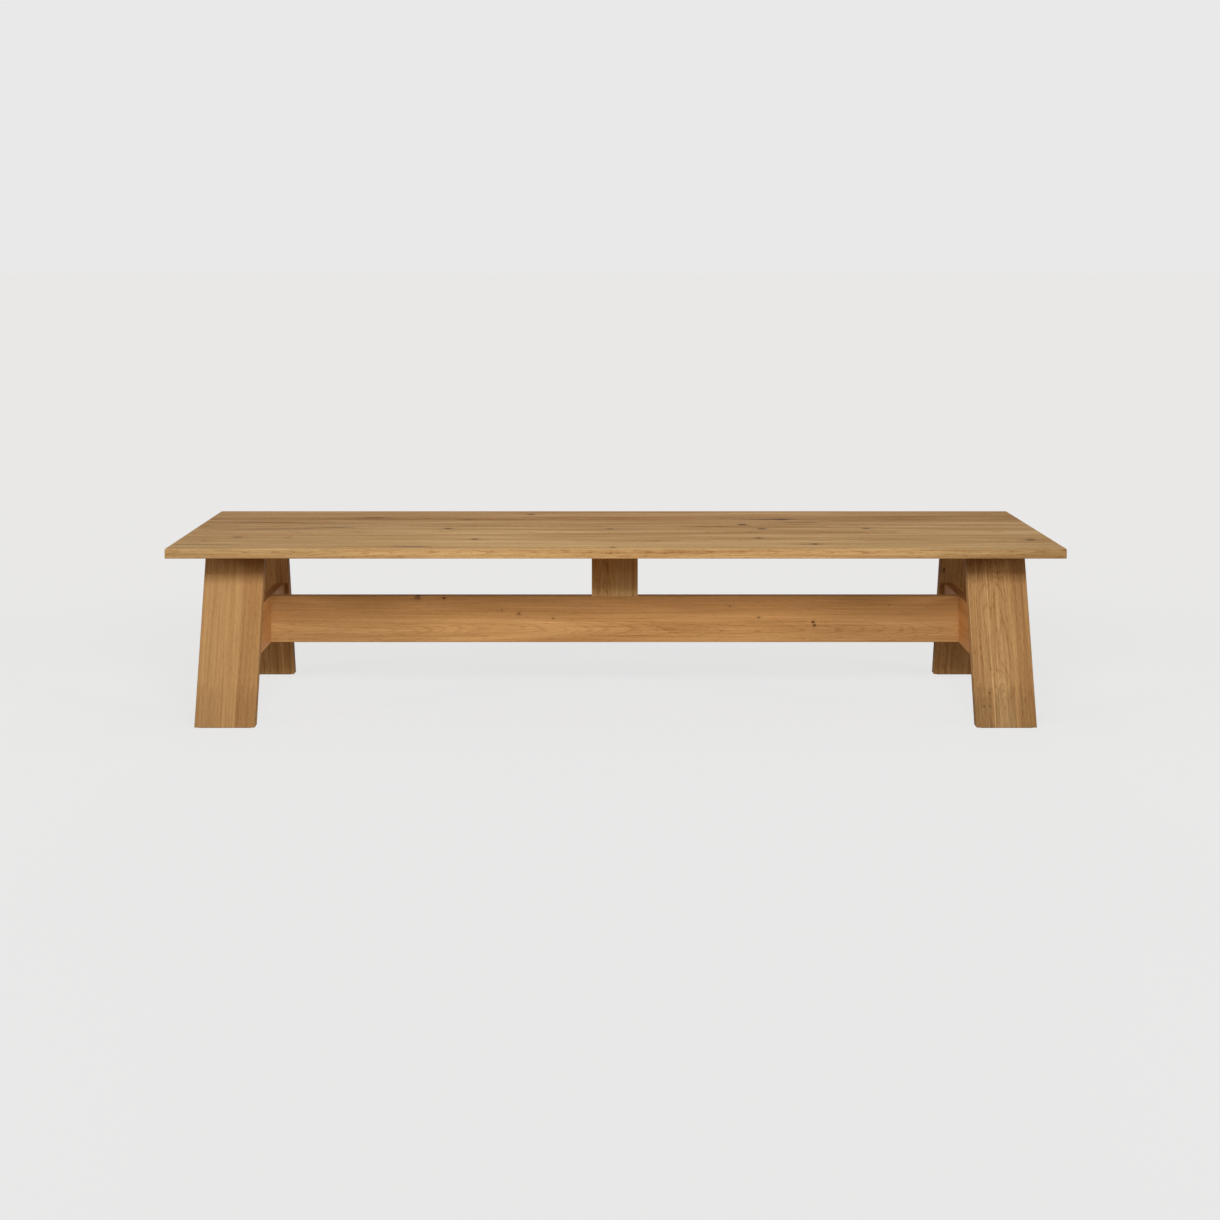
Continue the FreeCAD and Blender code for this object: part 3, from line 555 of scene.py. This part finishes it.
def oak_group(oak):
    """Oiled oak in the round: year rings about the heart, streaks, pores and rays."""
    if "oiled_oak" in bpy.data.node_groups:
        return bpy.data.node_groups["oiled_oak"]
    inputs = {"Place": "Vector", "Seed": "Float", "Heart": "Vector", "Taper": "Float", "Wander": "Float",
              "Bend": "Float", "Dark": "Float", "Bands": "Float", "Figure": "Float", "End": "Float",
              "Arris": "Float", "Pale": "Color", "Deep": "Color"}
    outputs = {"Colour": "Color", "Roughness": "Float", "Height": "Float"}
    wiring, given, taken = new_group("oiled_oak", inputs, outputs)
    place = given["Place"]
    seeded = wiring.vector("MULTIPLY_ADD", given["Seed"], SEED_STEP, place)

    # The rings, with the trunk's slow wander and small ripples
    roam = wiring.push(seeded, ROAM)
    ripple = wiring.push(seeded, RIPPLE, 4.0, 0.6)
    sway = wiring.vector("MULTIPLY_ADD", ripple, (0, 0.11, 0.11), roam)
    sway = wiring.vector("MULTIPLY", sway, wiring.vector("MULTIPLY", given["Wander"], (0, 1, 1)))
    from_heart = wiring.vector("SUBTRACT", wiring.vector("ADD", place, sway), given["Heart"])
    from_heart = wiring.vector("MULTIPLY", from_heart, (0, 1, 1))
    radius = wiring.math("MULTIPLY_ADD", wiring.parts(place)[0], given["Taper"], wiring.length(from_heart))
    radius = wiring.math("ADD", radius, given["Bend"])
    year = wiring.math("DIVIDE", radius, oak.ring_spacing)
    year = wiring.math("MULTIPLY_ADD", wiring.line_noise(year, 0.21), 2.2, year)
    year = wiring.math("ADD", year, given["Seed"])
    phase = wiring.math("FRACT", year)
    early = wiring.math("SUBTRACT", 1.0, wiring.ease(phase, 0.0, 0.4))
    season = wiring.line_noise(year, 0.16, 3.0)

    # Broad bands, streaks and crisp fine lines along the grain, and short dark dashes
    bands = wiring.noise(seeded, BROAD_BANDS, 2.0, 0.6)[0]
    streaks = wiring.noise(seeded, STREAKS, 4.0, 0.72)[0]
    lines = wiring.ease(wiring.noise(seeded, FINE_LINES, 3.0, 0.6)[0], 0.40, 0.60)
    dashes = wiring.ease(wiring.noise(seeded, DASHES)[0], 0.56, 0.66)

    # Open pores in the early growth, and the rays that run out from the heart
    pore_noise = wiring.noise(seeded, PORES, 1.0)[0]
    pores = wiring.ease(wiring.math("MULTIPLY_ADD", early, 0.17, pore_noise), 0.62, 0.72)
    sides = wiring.parts(from_heart)
    turn = wiring.math("ARCTAN2", sides[2], sides[1])
    values = {0: wiring.parts(seeded)[0], 1: turn, 2: radius}
    ray_place = wiring.add("ShaderNodeCombineXYZ", values).outputs[0]
    rays = wiring.ease(wiring.noise(ray_place, RAYS, 1.0)[0], 0.63, 0.74)

    # The shade of the wood, from deep at 0 to pale at 1
    shade = wiring.math("MULTIPLY", early, -0.34)
    for part, weight in ((streaks, 1.7), (season, 1.1), (lines, 0.42)):
        shade = wiring.math("MULTIPLY_ADD", wiring.math("SUBTRACT", part, 0.5), weight, shade)
    for part, weight in ((dashes, -0.40), (rays, 0.10), (pores, -0.30)):
        shade = wiring.math("MULTIPLY_ADD", part, weight, shade)
    shade = wiring.math("MULTIPLY_ADD", shade, given["Figure"], 0.76)
    broad = wiring.math("MULTIPLY", given["Bands"], 2.6)
    shade = wiring.math("MULTIPLY_ADD", wiring.math("SUBTRACT", bands, 0.5), broad, shade)

    # Sawn ends drink more oil and show the rings; the chamfered arrises are painted paler as a highlight
    # where they catch the light
    end_shade = wiring.math("MULTIPLY_ADD", early, -0.6, wiring.math("MULTIPLY_ADD", pores, -0.4, 0.35))
    end_shade = wiring.math("MULTIPLY_ADD", wiring.math("SUBTRACT", season, 0.5), 1.2, end_shade)
    shade = wiring.math("MULTIPLY_ADD", given["End"], wiring.math("SUBTRACT", end_shade, shade), shade)
    painted_arris_highlight = wiring.math("MULTIPLY", given["Arris"], wiring.ease(streaks, 0.35, 0.6))
    shade = wiring.math("MULTIPLY_ADD", painted_arris_highlight, 0.5, shade)
    shade = wiring.math("SUBTRACT", shade, wiring.math("MINIMUM", given["Dark"], 0.0))
    colour = wiring.blend(shade, given["Deep"], given["Pale"], held=False)
    colour = wiring.blend(given["Dark"], colour, wiring.vector("MULTIPLY", colour, oak.knot_tint))
    rough = wiring.math("MULTIPLY_ADD", shade, -0.12, 0.68)
    rough = wiring.math("MULTIPLY_ADD", pores, 0.15, rough)
    height = wiring.math("MULTIPLY_ADD", early, -0.25, 1.0)
    height = wiring.math("SUBTRACT", height, pores)
    wiring.feed(taken, {"Colour": colour, "Roughness": rough, "Height": height})
    return wiring.tree


def face_group():
    """Which faces of a board are sawn ends, and which are its narrow chamfered arrises."""
    if "oak_faces" in bpy.data.node_groups:
        return bpy.data.node_groups["oak_faces"]
    inputs = {"Normal": "Vector", "Grain": "Vector", "Across": "Vector", "Through": "Vector"}
    wiring, given, taken = new_group("oak_faces", inputs, {"End": "Float", "Arris": "Float"})
    turned = [wiring.math("ABSOLUTE", wiring.dot(given["Normal"], given[way]))
              for way in ("Grain", "Across", "Through")]
    squarest = wiring.math("MAXIMUM", turned[0], wiring.math("MAXIMUM", turned[1], turned[2]))
    wiring.feed(taken, {"End": wiring.ease(turned[0], 0.75, 0.9), "Arris": wiring.ease(squarest, 0.9, 0.8)})
    return wiring.tree


def tinted(colour, tint, warmth, tone):
    """A colour made warmer by a share of a tint, and brighter or darker."""
    return rgba([min(1.0, part * (1 + (red - 1) * warmth) * tone) for part, red in zip(colour, tint)])


def new_material(name):
    """A material with its surface shader, and the wiring of its nodes."""
    material = bpy.data.materials.new(name)
    material.use_nodes = True
    wiring = Wiring(material.node_tree)
    shader = next(node for node in wiring.tree.nodes if node.type == "BSDF_PRINCIPLED")
    return material, wiring, shader


def oak_material(name, way, board, seed, oak):
    """The oak of one board, turned so that its grain runs along it."""
    material, wiring, shader = new_material(f"oak_{name}")
    low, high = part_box(name)
    place = wiring.own_place((low + high) / 2, Matrix(way).transposed())
    normal = wiring.add("ShaderNodeTexCoord", {}).outputs["Normal"]
    values = {"Normal": normal, "Grain": way[0], "Across": way[1], "Through": way[2]}
    faces = wiring.add("ShaderNodeGroup", values, node_tree=face_group()).outputs
    bend = 0.0
    dark = 0.0
    for mark in board.marks:
        values = {"Place": place, "Middle": (mark.along, mark.across, 0.0),
                  "Density": (1 / mark.half_length, 1 / mark.half_width, 0.0), "Slope": mark.slope,
                  "Swirl": mark.swirl * mark.half_width, "Depth": mark.depth, "Bend": bend, "Dark": dark}
        found = wiring.add("ShaderNodeGroup", values, node_tree=mark_group()).outputs
        bend = found["Bend"]
        dark = found["Dark"]
    values = {"Place": place, "Seed": float(seed), "Heart": (0.0, *board.heart), "Taper": board.taper,
              "Wander": board.wander, "Bend": bend, "Dark": dark, "Bands": board.bands,
              "Figure": board.figure, "End": faces["End"], "Arris": faces["Arris"],
              "Pale": tinted(oak.pale, oak.red_tint, board.warmth, board.tone),
              "Deep": tinted(oak.deep, oak.red_tint, board.warmth, board.tone)}
    wood = wiring.add("ShaderNodeGroup", values, node_tree=oak_group(oak)).outputs
    wiring.feed(shader.inputs, {
        "Base Color": wood["Colour"],
        "Roughness": wood["Roughness"],
        "Normal": wiring.bump(wood["Height"], 0.35, oak.pore_depth),
        "Specular IOR Level": board.sheen})
    return material


def dress(name, material):
    """Gives a board or a set of fixings its finish."""
    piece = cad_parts[name]
    piece.data.materials.clear()
    piece.data.materials.append(material)


def finish_boards(oak, boards, way, first_seed):
    """Gives each board of a group its own oak."""
    for number, (name, board) in enumerate(boards.items()):
        dress(name, oak_material(name, way, board, first_seed + number, oak))


class TABLE_OT_top(bpy.types.Operator):
    """Finish the seven planks of the top"""
    bl_idname = "table.top"
    bl_label = "Top"

    def execute(self, context):
        finish_boards(context.scene.table_oak, PLANKS, ALONG_TABLE, first_seed=1)
        return {"FINISHED"}


class TABLE_OT_legs(bpy.types.Operator):
    """Finish the staves of the four legs"""
    bl_idname = "table.legs"
    bl_label = "Legs"

    def execute(self, context):
        oak = context.scene.table_oak
        finish_boards(oak, FRONT_LEGS, FRONT_LEG_WAY, first_seed=20)
        finish_boards(oak, REAR_LEGS, REAR_LEG_WAY, first_seed=26)
        return {"FINISHED"}


class TABLE_OT_rails(bpy.types.Operator):
    """Finish the crosspieces, the stretcher, its post and the bearers"""
    bl_idname = "table.rails"
    bl_label = "Rails"

    def execute(self, context):
        oak = context.scene.table_oak
        finish_boards(oak, CROSSPIECES, ACROSS_TABLE, first_seed=40)
        finish_boards(oak, STRETCHERS, STRETCHER_WAY, first_seed=50)
        finish_boards(oak, POSTS, UPRIGHT, first_seed=60)
        finish_boards(oak, BEARERS, ACROSS_TABLE, first_seed=70)
        return {"FINISHED"}


def pick(piece, kind, wanted):
    """In edit mode, selects those faces or edges of a piece for which the test is true."""
    bpy.ops.mesh.select_mode(type=kind)
    bpy.ops.mesh.select_all(action="DESELECT")
    shape = bmesh.from_edit_mesh(piece.data)
    for item in shape.faces if kind == "FACE" else shape.edges:
        item.select_set(wanted(item))
    bmesh.update_edit_mesh(piece.data)


def level_edge(height):
    """A test for edges that lie level at a height."""
    return lambda edge: all(abs(corner.co.z - height) < SAME_PLACE for corner in edge.verts)


def start_cylinder(radius, low, high, sides=48, turn=0.0):
    """An upright cylinder between two heights, or turned about its middle towards the X axis."""
    bpy.ops.object.select_all(action="DESELECT")
    bpy.ops.mesh.primitive_cylinder_add(vertices=sides, radius=radius, depth=high - low,
                                        location=(0, 0, (low + high) / 2), rotation=(0, turn, 0))
    bpy.ops.object.transform_apply()
    return bpy.context.object


def start_block(size, middle):
    """A block with its middle at a place."""
    bpy.ops.object.select_all(action="DESELECT")
    bpy.ops.mesh.primitive_cube_add(size=1.0, location=middle, scale=size)
    bpy.ops.object.transform_apply()
    return bpy.context.object


def cut_away(piece, cutter):
    """Takes the shape of a cutter out of a piece, and throws the cutter away."""
    cut = piece.modifiers.new("cut", "BOOLEAN")
    cut.object = cutter
    bpy.ops.object.select_all(action="DESELECT")
    piece.select_set(True)
    bpy.context.view_layer.objects.active = piece
    bpy.ops.object.modifier_apply(modifier="cut")
    bpy.data.objects.remove(cutter)


def model_bolt(head, head_height, shank, reach, key):
    """A flat-headed bolt that points down from the origin, with a rounded rim and a hexagon socket."""
    rim = 0.3 * head_height
    tip = 0.12 * shank
    bolt = start_cylinder(head / 2, 0.0, head_height)
    bpy.ops.object.mode_set(mode="EDIT")
    pick(bolt, "EDGE", level_edge(head_height))
    bpy.ops.mesh.bevel(offset=rim, segments=4, affect="EDGES")
    pick(bolt, "FACE", lambda face: face.normal.z < -0.9)
    bpy.ops.mesh.inset(thickness=(head - shank) / 2)
    bpy.ops.mesh.extrude_region_move(TRANSFORM_OT_translate={"value": (0, 0, -reach)})
    pick(bolt, "EDGE", level_edge(-reach))
    bpy.ops.mesh.bevel(offset=tip, segments=2, affect="EDGES")
    bpy.ops.object.mode_set(mode="OBJECT")
    socket_corner = key / 2 / math.cos(math.radians(30))
    cut_away(bolt, start_cylinder(socket_corner, head_height - key, 2 * head_height, 6))
    bpy.ops.object.shade_smooth_by_angle(angle=SMOOTH_ANGLE)
    return bolt


def model_barrel_nut(barrel, length, hole):
    """An upright barrel nut, with a cross hole and a slot in its upper end to turn it by."""
    rim = 0.05 * barrel
    nut = start_cylinder(barrel / 2, -length / 2, length / 2)
    bpy.ops.object.mode_set(mode="EDIT")
    pick(nut, "EDGE", lambda edge: level_edge(length / 2)(edge) or level_edge(-length / 2)(edge))
    bpy.ops.mesh.bevel(offset=rim, segments=3, affect="EDGES")
    bpy.ops.object.mode_set(mode="OBJECT")
    cut_away(nut, start_cylinder(hole / 2, -barrel, barrel, 32, math.radians(90)))
    cut_away(nut, start_block((2 * barrel, NUT_SLOT, 2 * NUT_SLOT), (0, 0, length / 2)))
    bpy.ops.object.shade_smooth_by_angle(angle=SMOOTH_ANGLE)
    return nut


def model_felt(length, width, thickness, corner):
    """A strip of felt that lies on the origin, with round corners and a soft lower rim."""
    rim = 0.3 * thickness
    felt = start_block((length, width, thickness), (0, 0, thickness / 2))
    bpy.ops.object.mode_set(mode="EDIT")
    pick(felt, "EDGE", lambda edge: abs(edge.verts[0].co.z - edge.verts[1].co.z) > SAME_PLACE)
    bpy.ops.mesh.bevel(offset=corner, segments=6, affect="EDGES")
    pick(felt, "EDGE", level_edge(0.0))
    bpy.ops.mesh.bevel(offset=rim, segments=3, affect="EDGES")
    bpy.ops.object.mode_set(mode="OBJECT")
    bpy.ops.object.shade_smooth_by_angle(angle=SMOOTH_ANGLE)
    return felt


def set_in_place(pattern, node, turn, places, material_for):
    """Puts a copy of a pattern at each place, instead of a CAD node, and throws the pattern away."""
    for number, place in enumerate(places):
        piece = pattern.copy()
        piece.data = pattern.data.copy()
        piece.name = f"{node}_{number + 1}"
        piece.data.transform(Matrix.Translation(place) @ turn(place))
        piece.data.materials.append(material_for(piece.name, place, turn(place)))
        bpy.context.collection.objects.link(piece)
        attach(piece, "root")
        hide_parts(node)
    bpy.data.objects.remove(pattern)


def metal_material(name, colour, place, turn):
    """Plated or bare metal, turned on a lathe about its own axis and a little dulled."""
    material, wiring, shader = new_material(f"metal_{name}")
    own = wiring.own_place(place, turn)
    radius = wiring.length(wiring.vector("MULTIPLY", own, (1, 1, 0)))
    rings = wiring.line_noise(radius, LATHE_LINES)
    dulled = wiring.noise(own, DULL_SPOTS, 3.0, 0.6)[0]
    darker = rgba([0.72 * part for part in colour])
    rough = wiring.math("MULTIPLY_ADD", dulled, 0.35, 0.16)
    wiring.feed(shader.inputs, {
        "Base Color": wiring.blend(wiring.ease(dulled, 0.4, 0.7), rgba(colour), darker),
        "Roughness": wiring.math("MULTIPLY_ADD", rings, 0.12, rough),
        "Normal": wiring.bump(rings, 0.25, 0.00005),
        "Metallic": 1.0})
    return material


def steel_maker(sizes):
    """What makes the steel of each bolt or nut, turned about its own axis."""
    return lambda name, place, turn: metal_material(name, sizes.steel, place, turn)


def felt_material(name, colour):
    """Pressed wool felt: short fibres lying every way, and a soft sheen."""
    material, wiring, shader = new_material(f"felt_{name}")
    place = wiring.place()
    fibres = wiring.noise(place, FELT_FIBRES, 3.0, 0.7)[0]
    mottle = wiring.noise(place, FELT_MOTTLE)[0]
    shade = wiring.math("MULTIPLY_ADD", fibres, 0.6, wiring.math("MULTIPLY", mottle, 0.5))
    dark = rgba([0.55 * part for part in colour])
    light = rgba([1.5 * part for part in colour])
    wiring.feed(shader.inputs, {
        "Base Color": wiring.blend(shade, dark, light),
        "Roughness": wiring.math("MULTIPLY_ADD", fibres, 0.1, 0.88),
        "Normal": wiring.bump(fibres, 0.6, 0.0004),
        "Sheen Weight": 0.35,
        "Specular IOR Level": 0.1})
    return material


def beech_material(colour):
    """Plain beech along the table: close grain with short darker flecks."""
    material, wiring, shader = new_material("beech_splines")
    place = wiring.place()
    grain = wiring.noise(place, BEECH_GRAIN, 3.0, 0.6)[0]
    flecks = wiring.ease(wiring.noise(place, BEECH_FLECKS, 1.0)[0], 0.58, 0.68)
    shade = wiring.math("MULTIPLY_ADD", flecks, 0.35, wiring.math("MULTIPLY", grain, 0.6))
    darker = rgba([part * share for part, share in zip(colour, (0.72, 0.62, 0.52))])
    wiring.feed(shader.inputs, {
        "Base Color": wiring.blend(shade, rgba(colour), darker),
        "Roughness": wiring.math("MULTIPLY_ADD", grain, 0.2, 0.5),
        "Normal": wiring.bump(grain, 0.2, 0.0002)})
    return material


def bolt_turn(place):
    """The turn that lays a bolt along the table with its head outwards."""
    return Matrix.Rotation(math.radians(90 if place[0] > 0 else -90), 4, "Y")


class TABLE_OT_stretcher_fixings(bpy.types.Operator):
    """Model the bolts that hold the stretcher, and their barrel nuts"""
    bl_idname = "table.stretcher_fixings"
    bl_label = "Stretcher Fixings"

    def execute(self, context):
        sizes = context.scene.table_fixings
        low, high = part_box("stretcher_bolts")
        seat = high.x - sizes.bolt_head_height
        heights = (low.z + sizes.bolt_head / 2, high.z - sizes.bolt_head / 2)
        places = [(side * seat, 0.0, height) for side in (-1, 1) for height in heights]
        bolt = model_bolt(sizes.bolt_head, sizes.bolt_head_height, sizes.bolt_shank, sizes.bolt_reach,
                          sizes.bolt_key)
        set_in_place(bolt, "stretcher_bolts", bolt_turn, places, steel_maker(sizes))

        low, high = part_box("stretcher_barrel_nuts")
        places = [(side * (high.x - sizes.barrel / 2), (low.y + high.y) / 2, height)
                  for side in (-1, 1) for height in heights]
        nut = model_barrel_nut(sizes.barrel, high.y - low.y, sizes.bolt_shank)
        set_in_place(nut, "stretcher_barrel_nuts",
                     lambda place: Matrix.Rotation(math.radians(-90), 4, "X"), places, steel_maker(sizes))
        return {"FINISHED"}


class TABLE_OT_top_fixings(bpy.types.Operator):
    """Model the bolts that hold the top, and finish their inserts and the splines between the planks"""
    bl_idname = "table.top_fixings"
    bl_label = "Top Fixings"

    def execute(self, context):
        sizes = context.scene.table_fixings
        low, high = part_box("bearer_bolts")
        radius = sizes.top_bolt_head / 2
        rows = (low.y + radius, (low.y + high.y) / 2, high.y - radius)
        seat = low.z + sizes.top_bolt_head_height
        places = [(side * (high.x - radius), row, seat) for side in (-1, 1) for row in rows]
        bolt = model_bolt(sizes.top_bolt_head, sizes.top_bolt_head_height, sizes.top_bolt_shank,
                          high.z - seat, sizes.top_bolt_key)
        set_in_place(bolt, "bearer_bolts",
                     lambda place: Matrix.Rotation(math.radians(180), 4, "X"), places, steel_maker(sizes))
        dress("top_inserts", metal_material("inserts", sizes.brass, (0, 0, 0), Matrix.Identity(4)))
        dress("top_splines", beech_material(sizes.beech))
        return {"FINISHED"}


class TABLE_OT_felts(bpy.types.Operator):
    """Model the felt strips under the feet"""
    bl_idname = "table.felts"
    bl_label = "Felts"

    def execute(self, context):
        sizes = context.scene.table_fixings
        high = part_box("foot_felts")[1]
        leg_low, leg_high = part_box("right_front_leg_middle_stave")
        middle = (leg_low.x + leg_high.x) / 2
        length = 2 * (high.x - middle)
        across = high.y - sizes.felt_width / 2
        places = [(side * middle, face * across, 0.0) for side in (-1, 1) for face in (-1, 1)]
        felt = model_felt(length, sizes.felt_width, high.z, sizes.felt_corner)
        set_in_place(felt, "foot_felts", lambda place: Matrix.Identity(4), places,
                     lambda name, place, turn: felt_material(name, sizes.felt))
        return {"FINISHED"}


def seen_ray(wiring):
    """1 for rays that show the backdrop itself, straight to the camera or mirrored."""
    path = wiring.add("ShaderNodeLightPath", {}).outputs
    return wiring.math("MAXIMUM", path["Is Camera Ray"], path["Is Glossy Ray"])


def make_world(stage):
    """Even light from all round, and the pale backdrop above the floor."""
    world = bpy.data.worlds.new("studio")
    world.use_nodes = True
    bpy.context.scene.world = world
    wiring = Wiring(world.node_tree)
    world.node_tree.nodes.clear()
    even = wiring.add("ShaderNodeBackground", {"Color": rgba(AMBIENT_COLOUR), "Strength": stage.ambient})
    shown = wiring.add("ShaderNodeBackground", {"Color": rgba(stage.backdrop), "Strength": 1.0})
    mixed = wiring.mix(seen_ray(wiring), even, shown)
    wiring.add("ShaderNodeOutputWorld", {"Surface": mixed.outputs[0]})


def softboxes(stage):
    """The two softboxes, in front of the table and over it."""
    return (Softbox("front_softbox", stage.front_power, Vector(stage.front_place), width=3.0, height=1.0),
            Softbox("top_softbox", stage.top_power, Vector(stage.top_place), width=2.4, height=1.2))


def far_lamps(stage):
    """The lamps that are far away: one at each side and one behind the table."""
    return (FarLamp("left_lamp", stage.side_light / 2, -SIDE_TURN, SIDE_RISE),
            FarLamp("right_lamp", stage.side_light / 2, SIDE_TURN, SIDE_RISE),
            FarLamp("rear_lamp", stage.rear_light, REAR_TURN, REAR_RISE, gloss=False))


def floor_light(wiring, stage):
    """How much light reaches each place of the bare floor."""
    place = wiring.place()
    reached = stage.ambient + sum(lamp.strength * lamp.way().z for lamp in far_lamps(stage)) / math.pi
    for lamp in softboxes(stage):
        ray = wiring.vector("SUBTRACT", lamp.place, place)
        facing = wiring.math("MAXIMUM", wiring.dot(ray, lamp.way()), 0.0)
        share = wiring.math("MULTIPLY", facing, wiring.parts(ray)[2])
        share = wiring.math("MULTIPLY", share, wiring.math("POWER", wiring.length(ray), -4.0))
        reached = wiring.math("MULTIPLY_ADD", share, lamp.power / math.pi ** 2, reached)
    return reached


def make_floor(stage):
    """A wide pale floor, evenly bright where nothing shades it, with a light shadow of the table."""
    bpy.ops.object.select_all(action="DESELECT")
    bpy.ops.mesh.primitive_plane_add(size=400)
    floor = bpy.context.object
    floor.name = "floor"
    material = bpy.data.materials.new("floor_paint")
    material.use_nodes = True
    wiring = Wiring(material.node_tree)
    material.node_tree.nodes.clear()
    bounce = wiring.add("ShaderNodeBsdfDiffuse", {"Color": rgba(BOUNCE_COLOUR)})
    evened = wiring.vector("DIVIDE", tuple(stage.backdrop), floor_light(wiring, stage))
    lit = wiring.add("ShaderNodeBsdfDiffuse", {"Color": evened})
    plain = wiring.add("ShaderNodeEmission", {"Color": rgba(stage.backdrop), "Strength": 1.0})
    shown = wiring.mix(SHADED_SHARE, plain, lit)
    mixed = wiring.mix(seen_ray(wiring), bounce, shown)
    wiring.add("ShaderNodeOutputMaterial", {"Surface": mixed.outputs[0]})
    floor.data.materials.append(material)


def hang(light, place, way):
    """Hangs up a light at a place, turned so that it shines against a direction, and returns it."""
    piece = bpy.data.objects.new(light.name, light)
    bpy.context.collection.objects.link(piece)
    piece.location = place
    piece.rotation_euler = way.to_track_quat("Z", "Y").to_euler()
    return piece


def make_lights(stage):
    """The two softboxes and the far lamps."""
    for lamp in softboxes(stage):
        light = bpy.data.lights.new(lamp.name, "AREA")
        light.shape = "RECTANGLE"
        light.size = lamp.width
        light.size_y = lamp.height
        light.energy = lamp.power
        hang(light, lamp.place, lamp.way())
    for lamp in far_lamps(stage):
        light = bpy.data.lights.new(lamp.name, "SUN")
        light.energy = lamp.strength
        light.angle = FAR_LAMP_ANGLE
        light.color = FAR_LAMP_COLOUR
        piece = hang(light, (0, 0, 0), lamp.way())
        piece.visible_glossy = lamp.gloss


def make_camera(stage):
    """The camera, level and in front of the table, with the table low in its view."""
    camera = bpy.data.cameras.new("camera")
    camera.lens = stage.lens
    camera.sensor_width = 36.0
    camera.shift_x = stage.shift[0]
    camera.shift_y = stage.shift[1]
    camera.clip_end = 1000.0
    piece = bpy.data.objects.new("camera", camera)
    bpy.context.collection.objects.link(piece)
    piece.location = stage.camera_place
    piece.rotation_euler = (math.radians(90), 0, 0)
    bpy.context.scene.camera = piece


class TABLE_OT_stage(bpy.types.Operator):
    """Set up the floor, the lamps and the camera"""
    bl_idname = "table.stage"
    bl_label = "Stage"

    def execute(self, context):
        stage = context.scene.table_stage
        make_world(stage)
        make_floor(stage)
        make_lights(stage)
        make_camera(stage)
        context.scene.view_settings.view_transform = "Standard"
        return {"FINISHED"}


class TABLE_PT_pieces(bpy.types.Panel):
    """The steps that finish the table, and their settings"""
    bl_idname = "TABLE_PT_pieces"
    bl_label = "Trestle Dining Table"
    bl_space_type = "VIEW_3D"
    bl_region_type = "UI"
    bl_category = "Table"

    def draw(self, context):
        for step in STEPS:
            self.layout.operator(step.bl_idname)
        for settings in (context.scene.table_oak, context.scene.table_fixings, context.scene.table_stage):
            box = self.layout.box()
            for name in settings.__annotations__:
                box.prop(settings, name)


STEPS = (TABLE_OT_top, TABLE_OT_legs, TABLE_OT_rails, TABLE_OT_stretcher_fixings, TABLE_OT_top_fixings,
         TABLE_OT_felts, TABLE_OT_stage)
CLASSES = (OakSettings, FixingSettings, StageSettings, *STEPS, TABLE_PT_pieces)


def register():
    for item in CLASSES:
        bpy.utils.register_class(item)
    bpy.types.Scene.table_oak = PointerProperty(type=OakSettings)
    bpy.types.Scene.table_fixings = PointerProperty(type=FixingSettings)
    bpy.types.Scene.table_stage = PointerProperty(type=StageSettings)


def unregister():
    del bpy.types.Scene.table_stage
    del bpy.types.Scene.table_fixings
    del bpy.types.Scene.table_oak
    for item in reversed(CLASSES):
        bpy.utils.unregister_class(item)


def main():
    register()
    bpy.ops.table.top()
    bpy.ops.table.legs()
    bpy.ops.table.rails()
    bpy.ops.table.stretcher_fixings()
    bpy.ops.table.top_fixings()
    bpy.ops.table.felts()
    bpy.ops.table.stage()


if __name__ == "__main__":
    main()
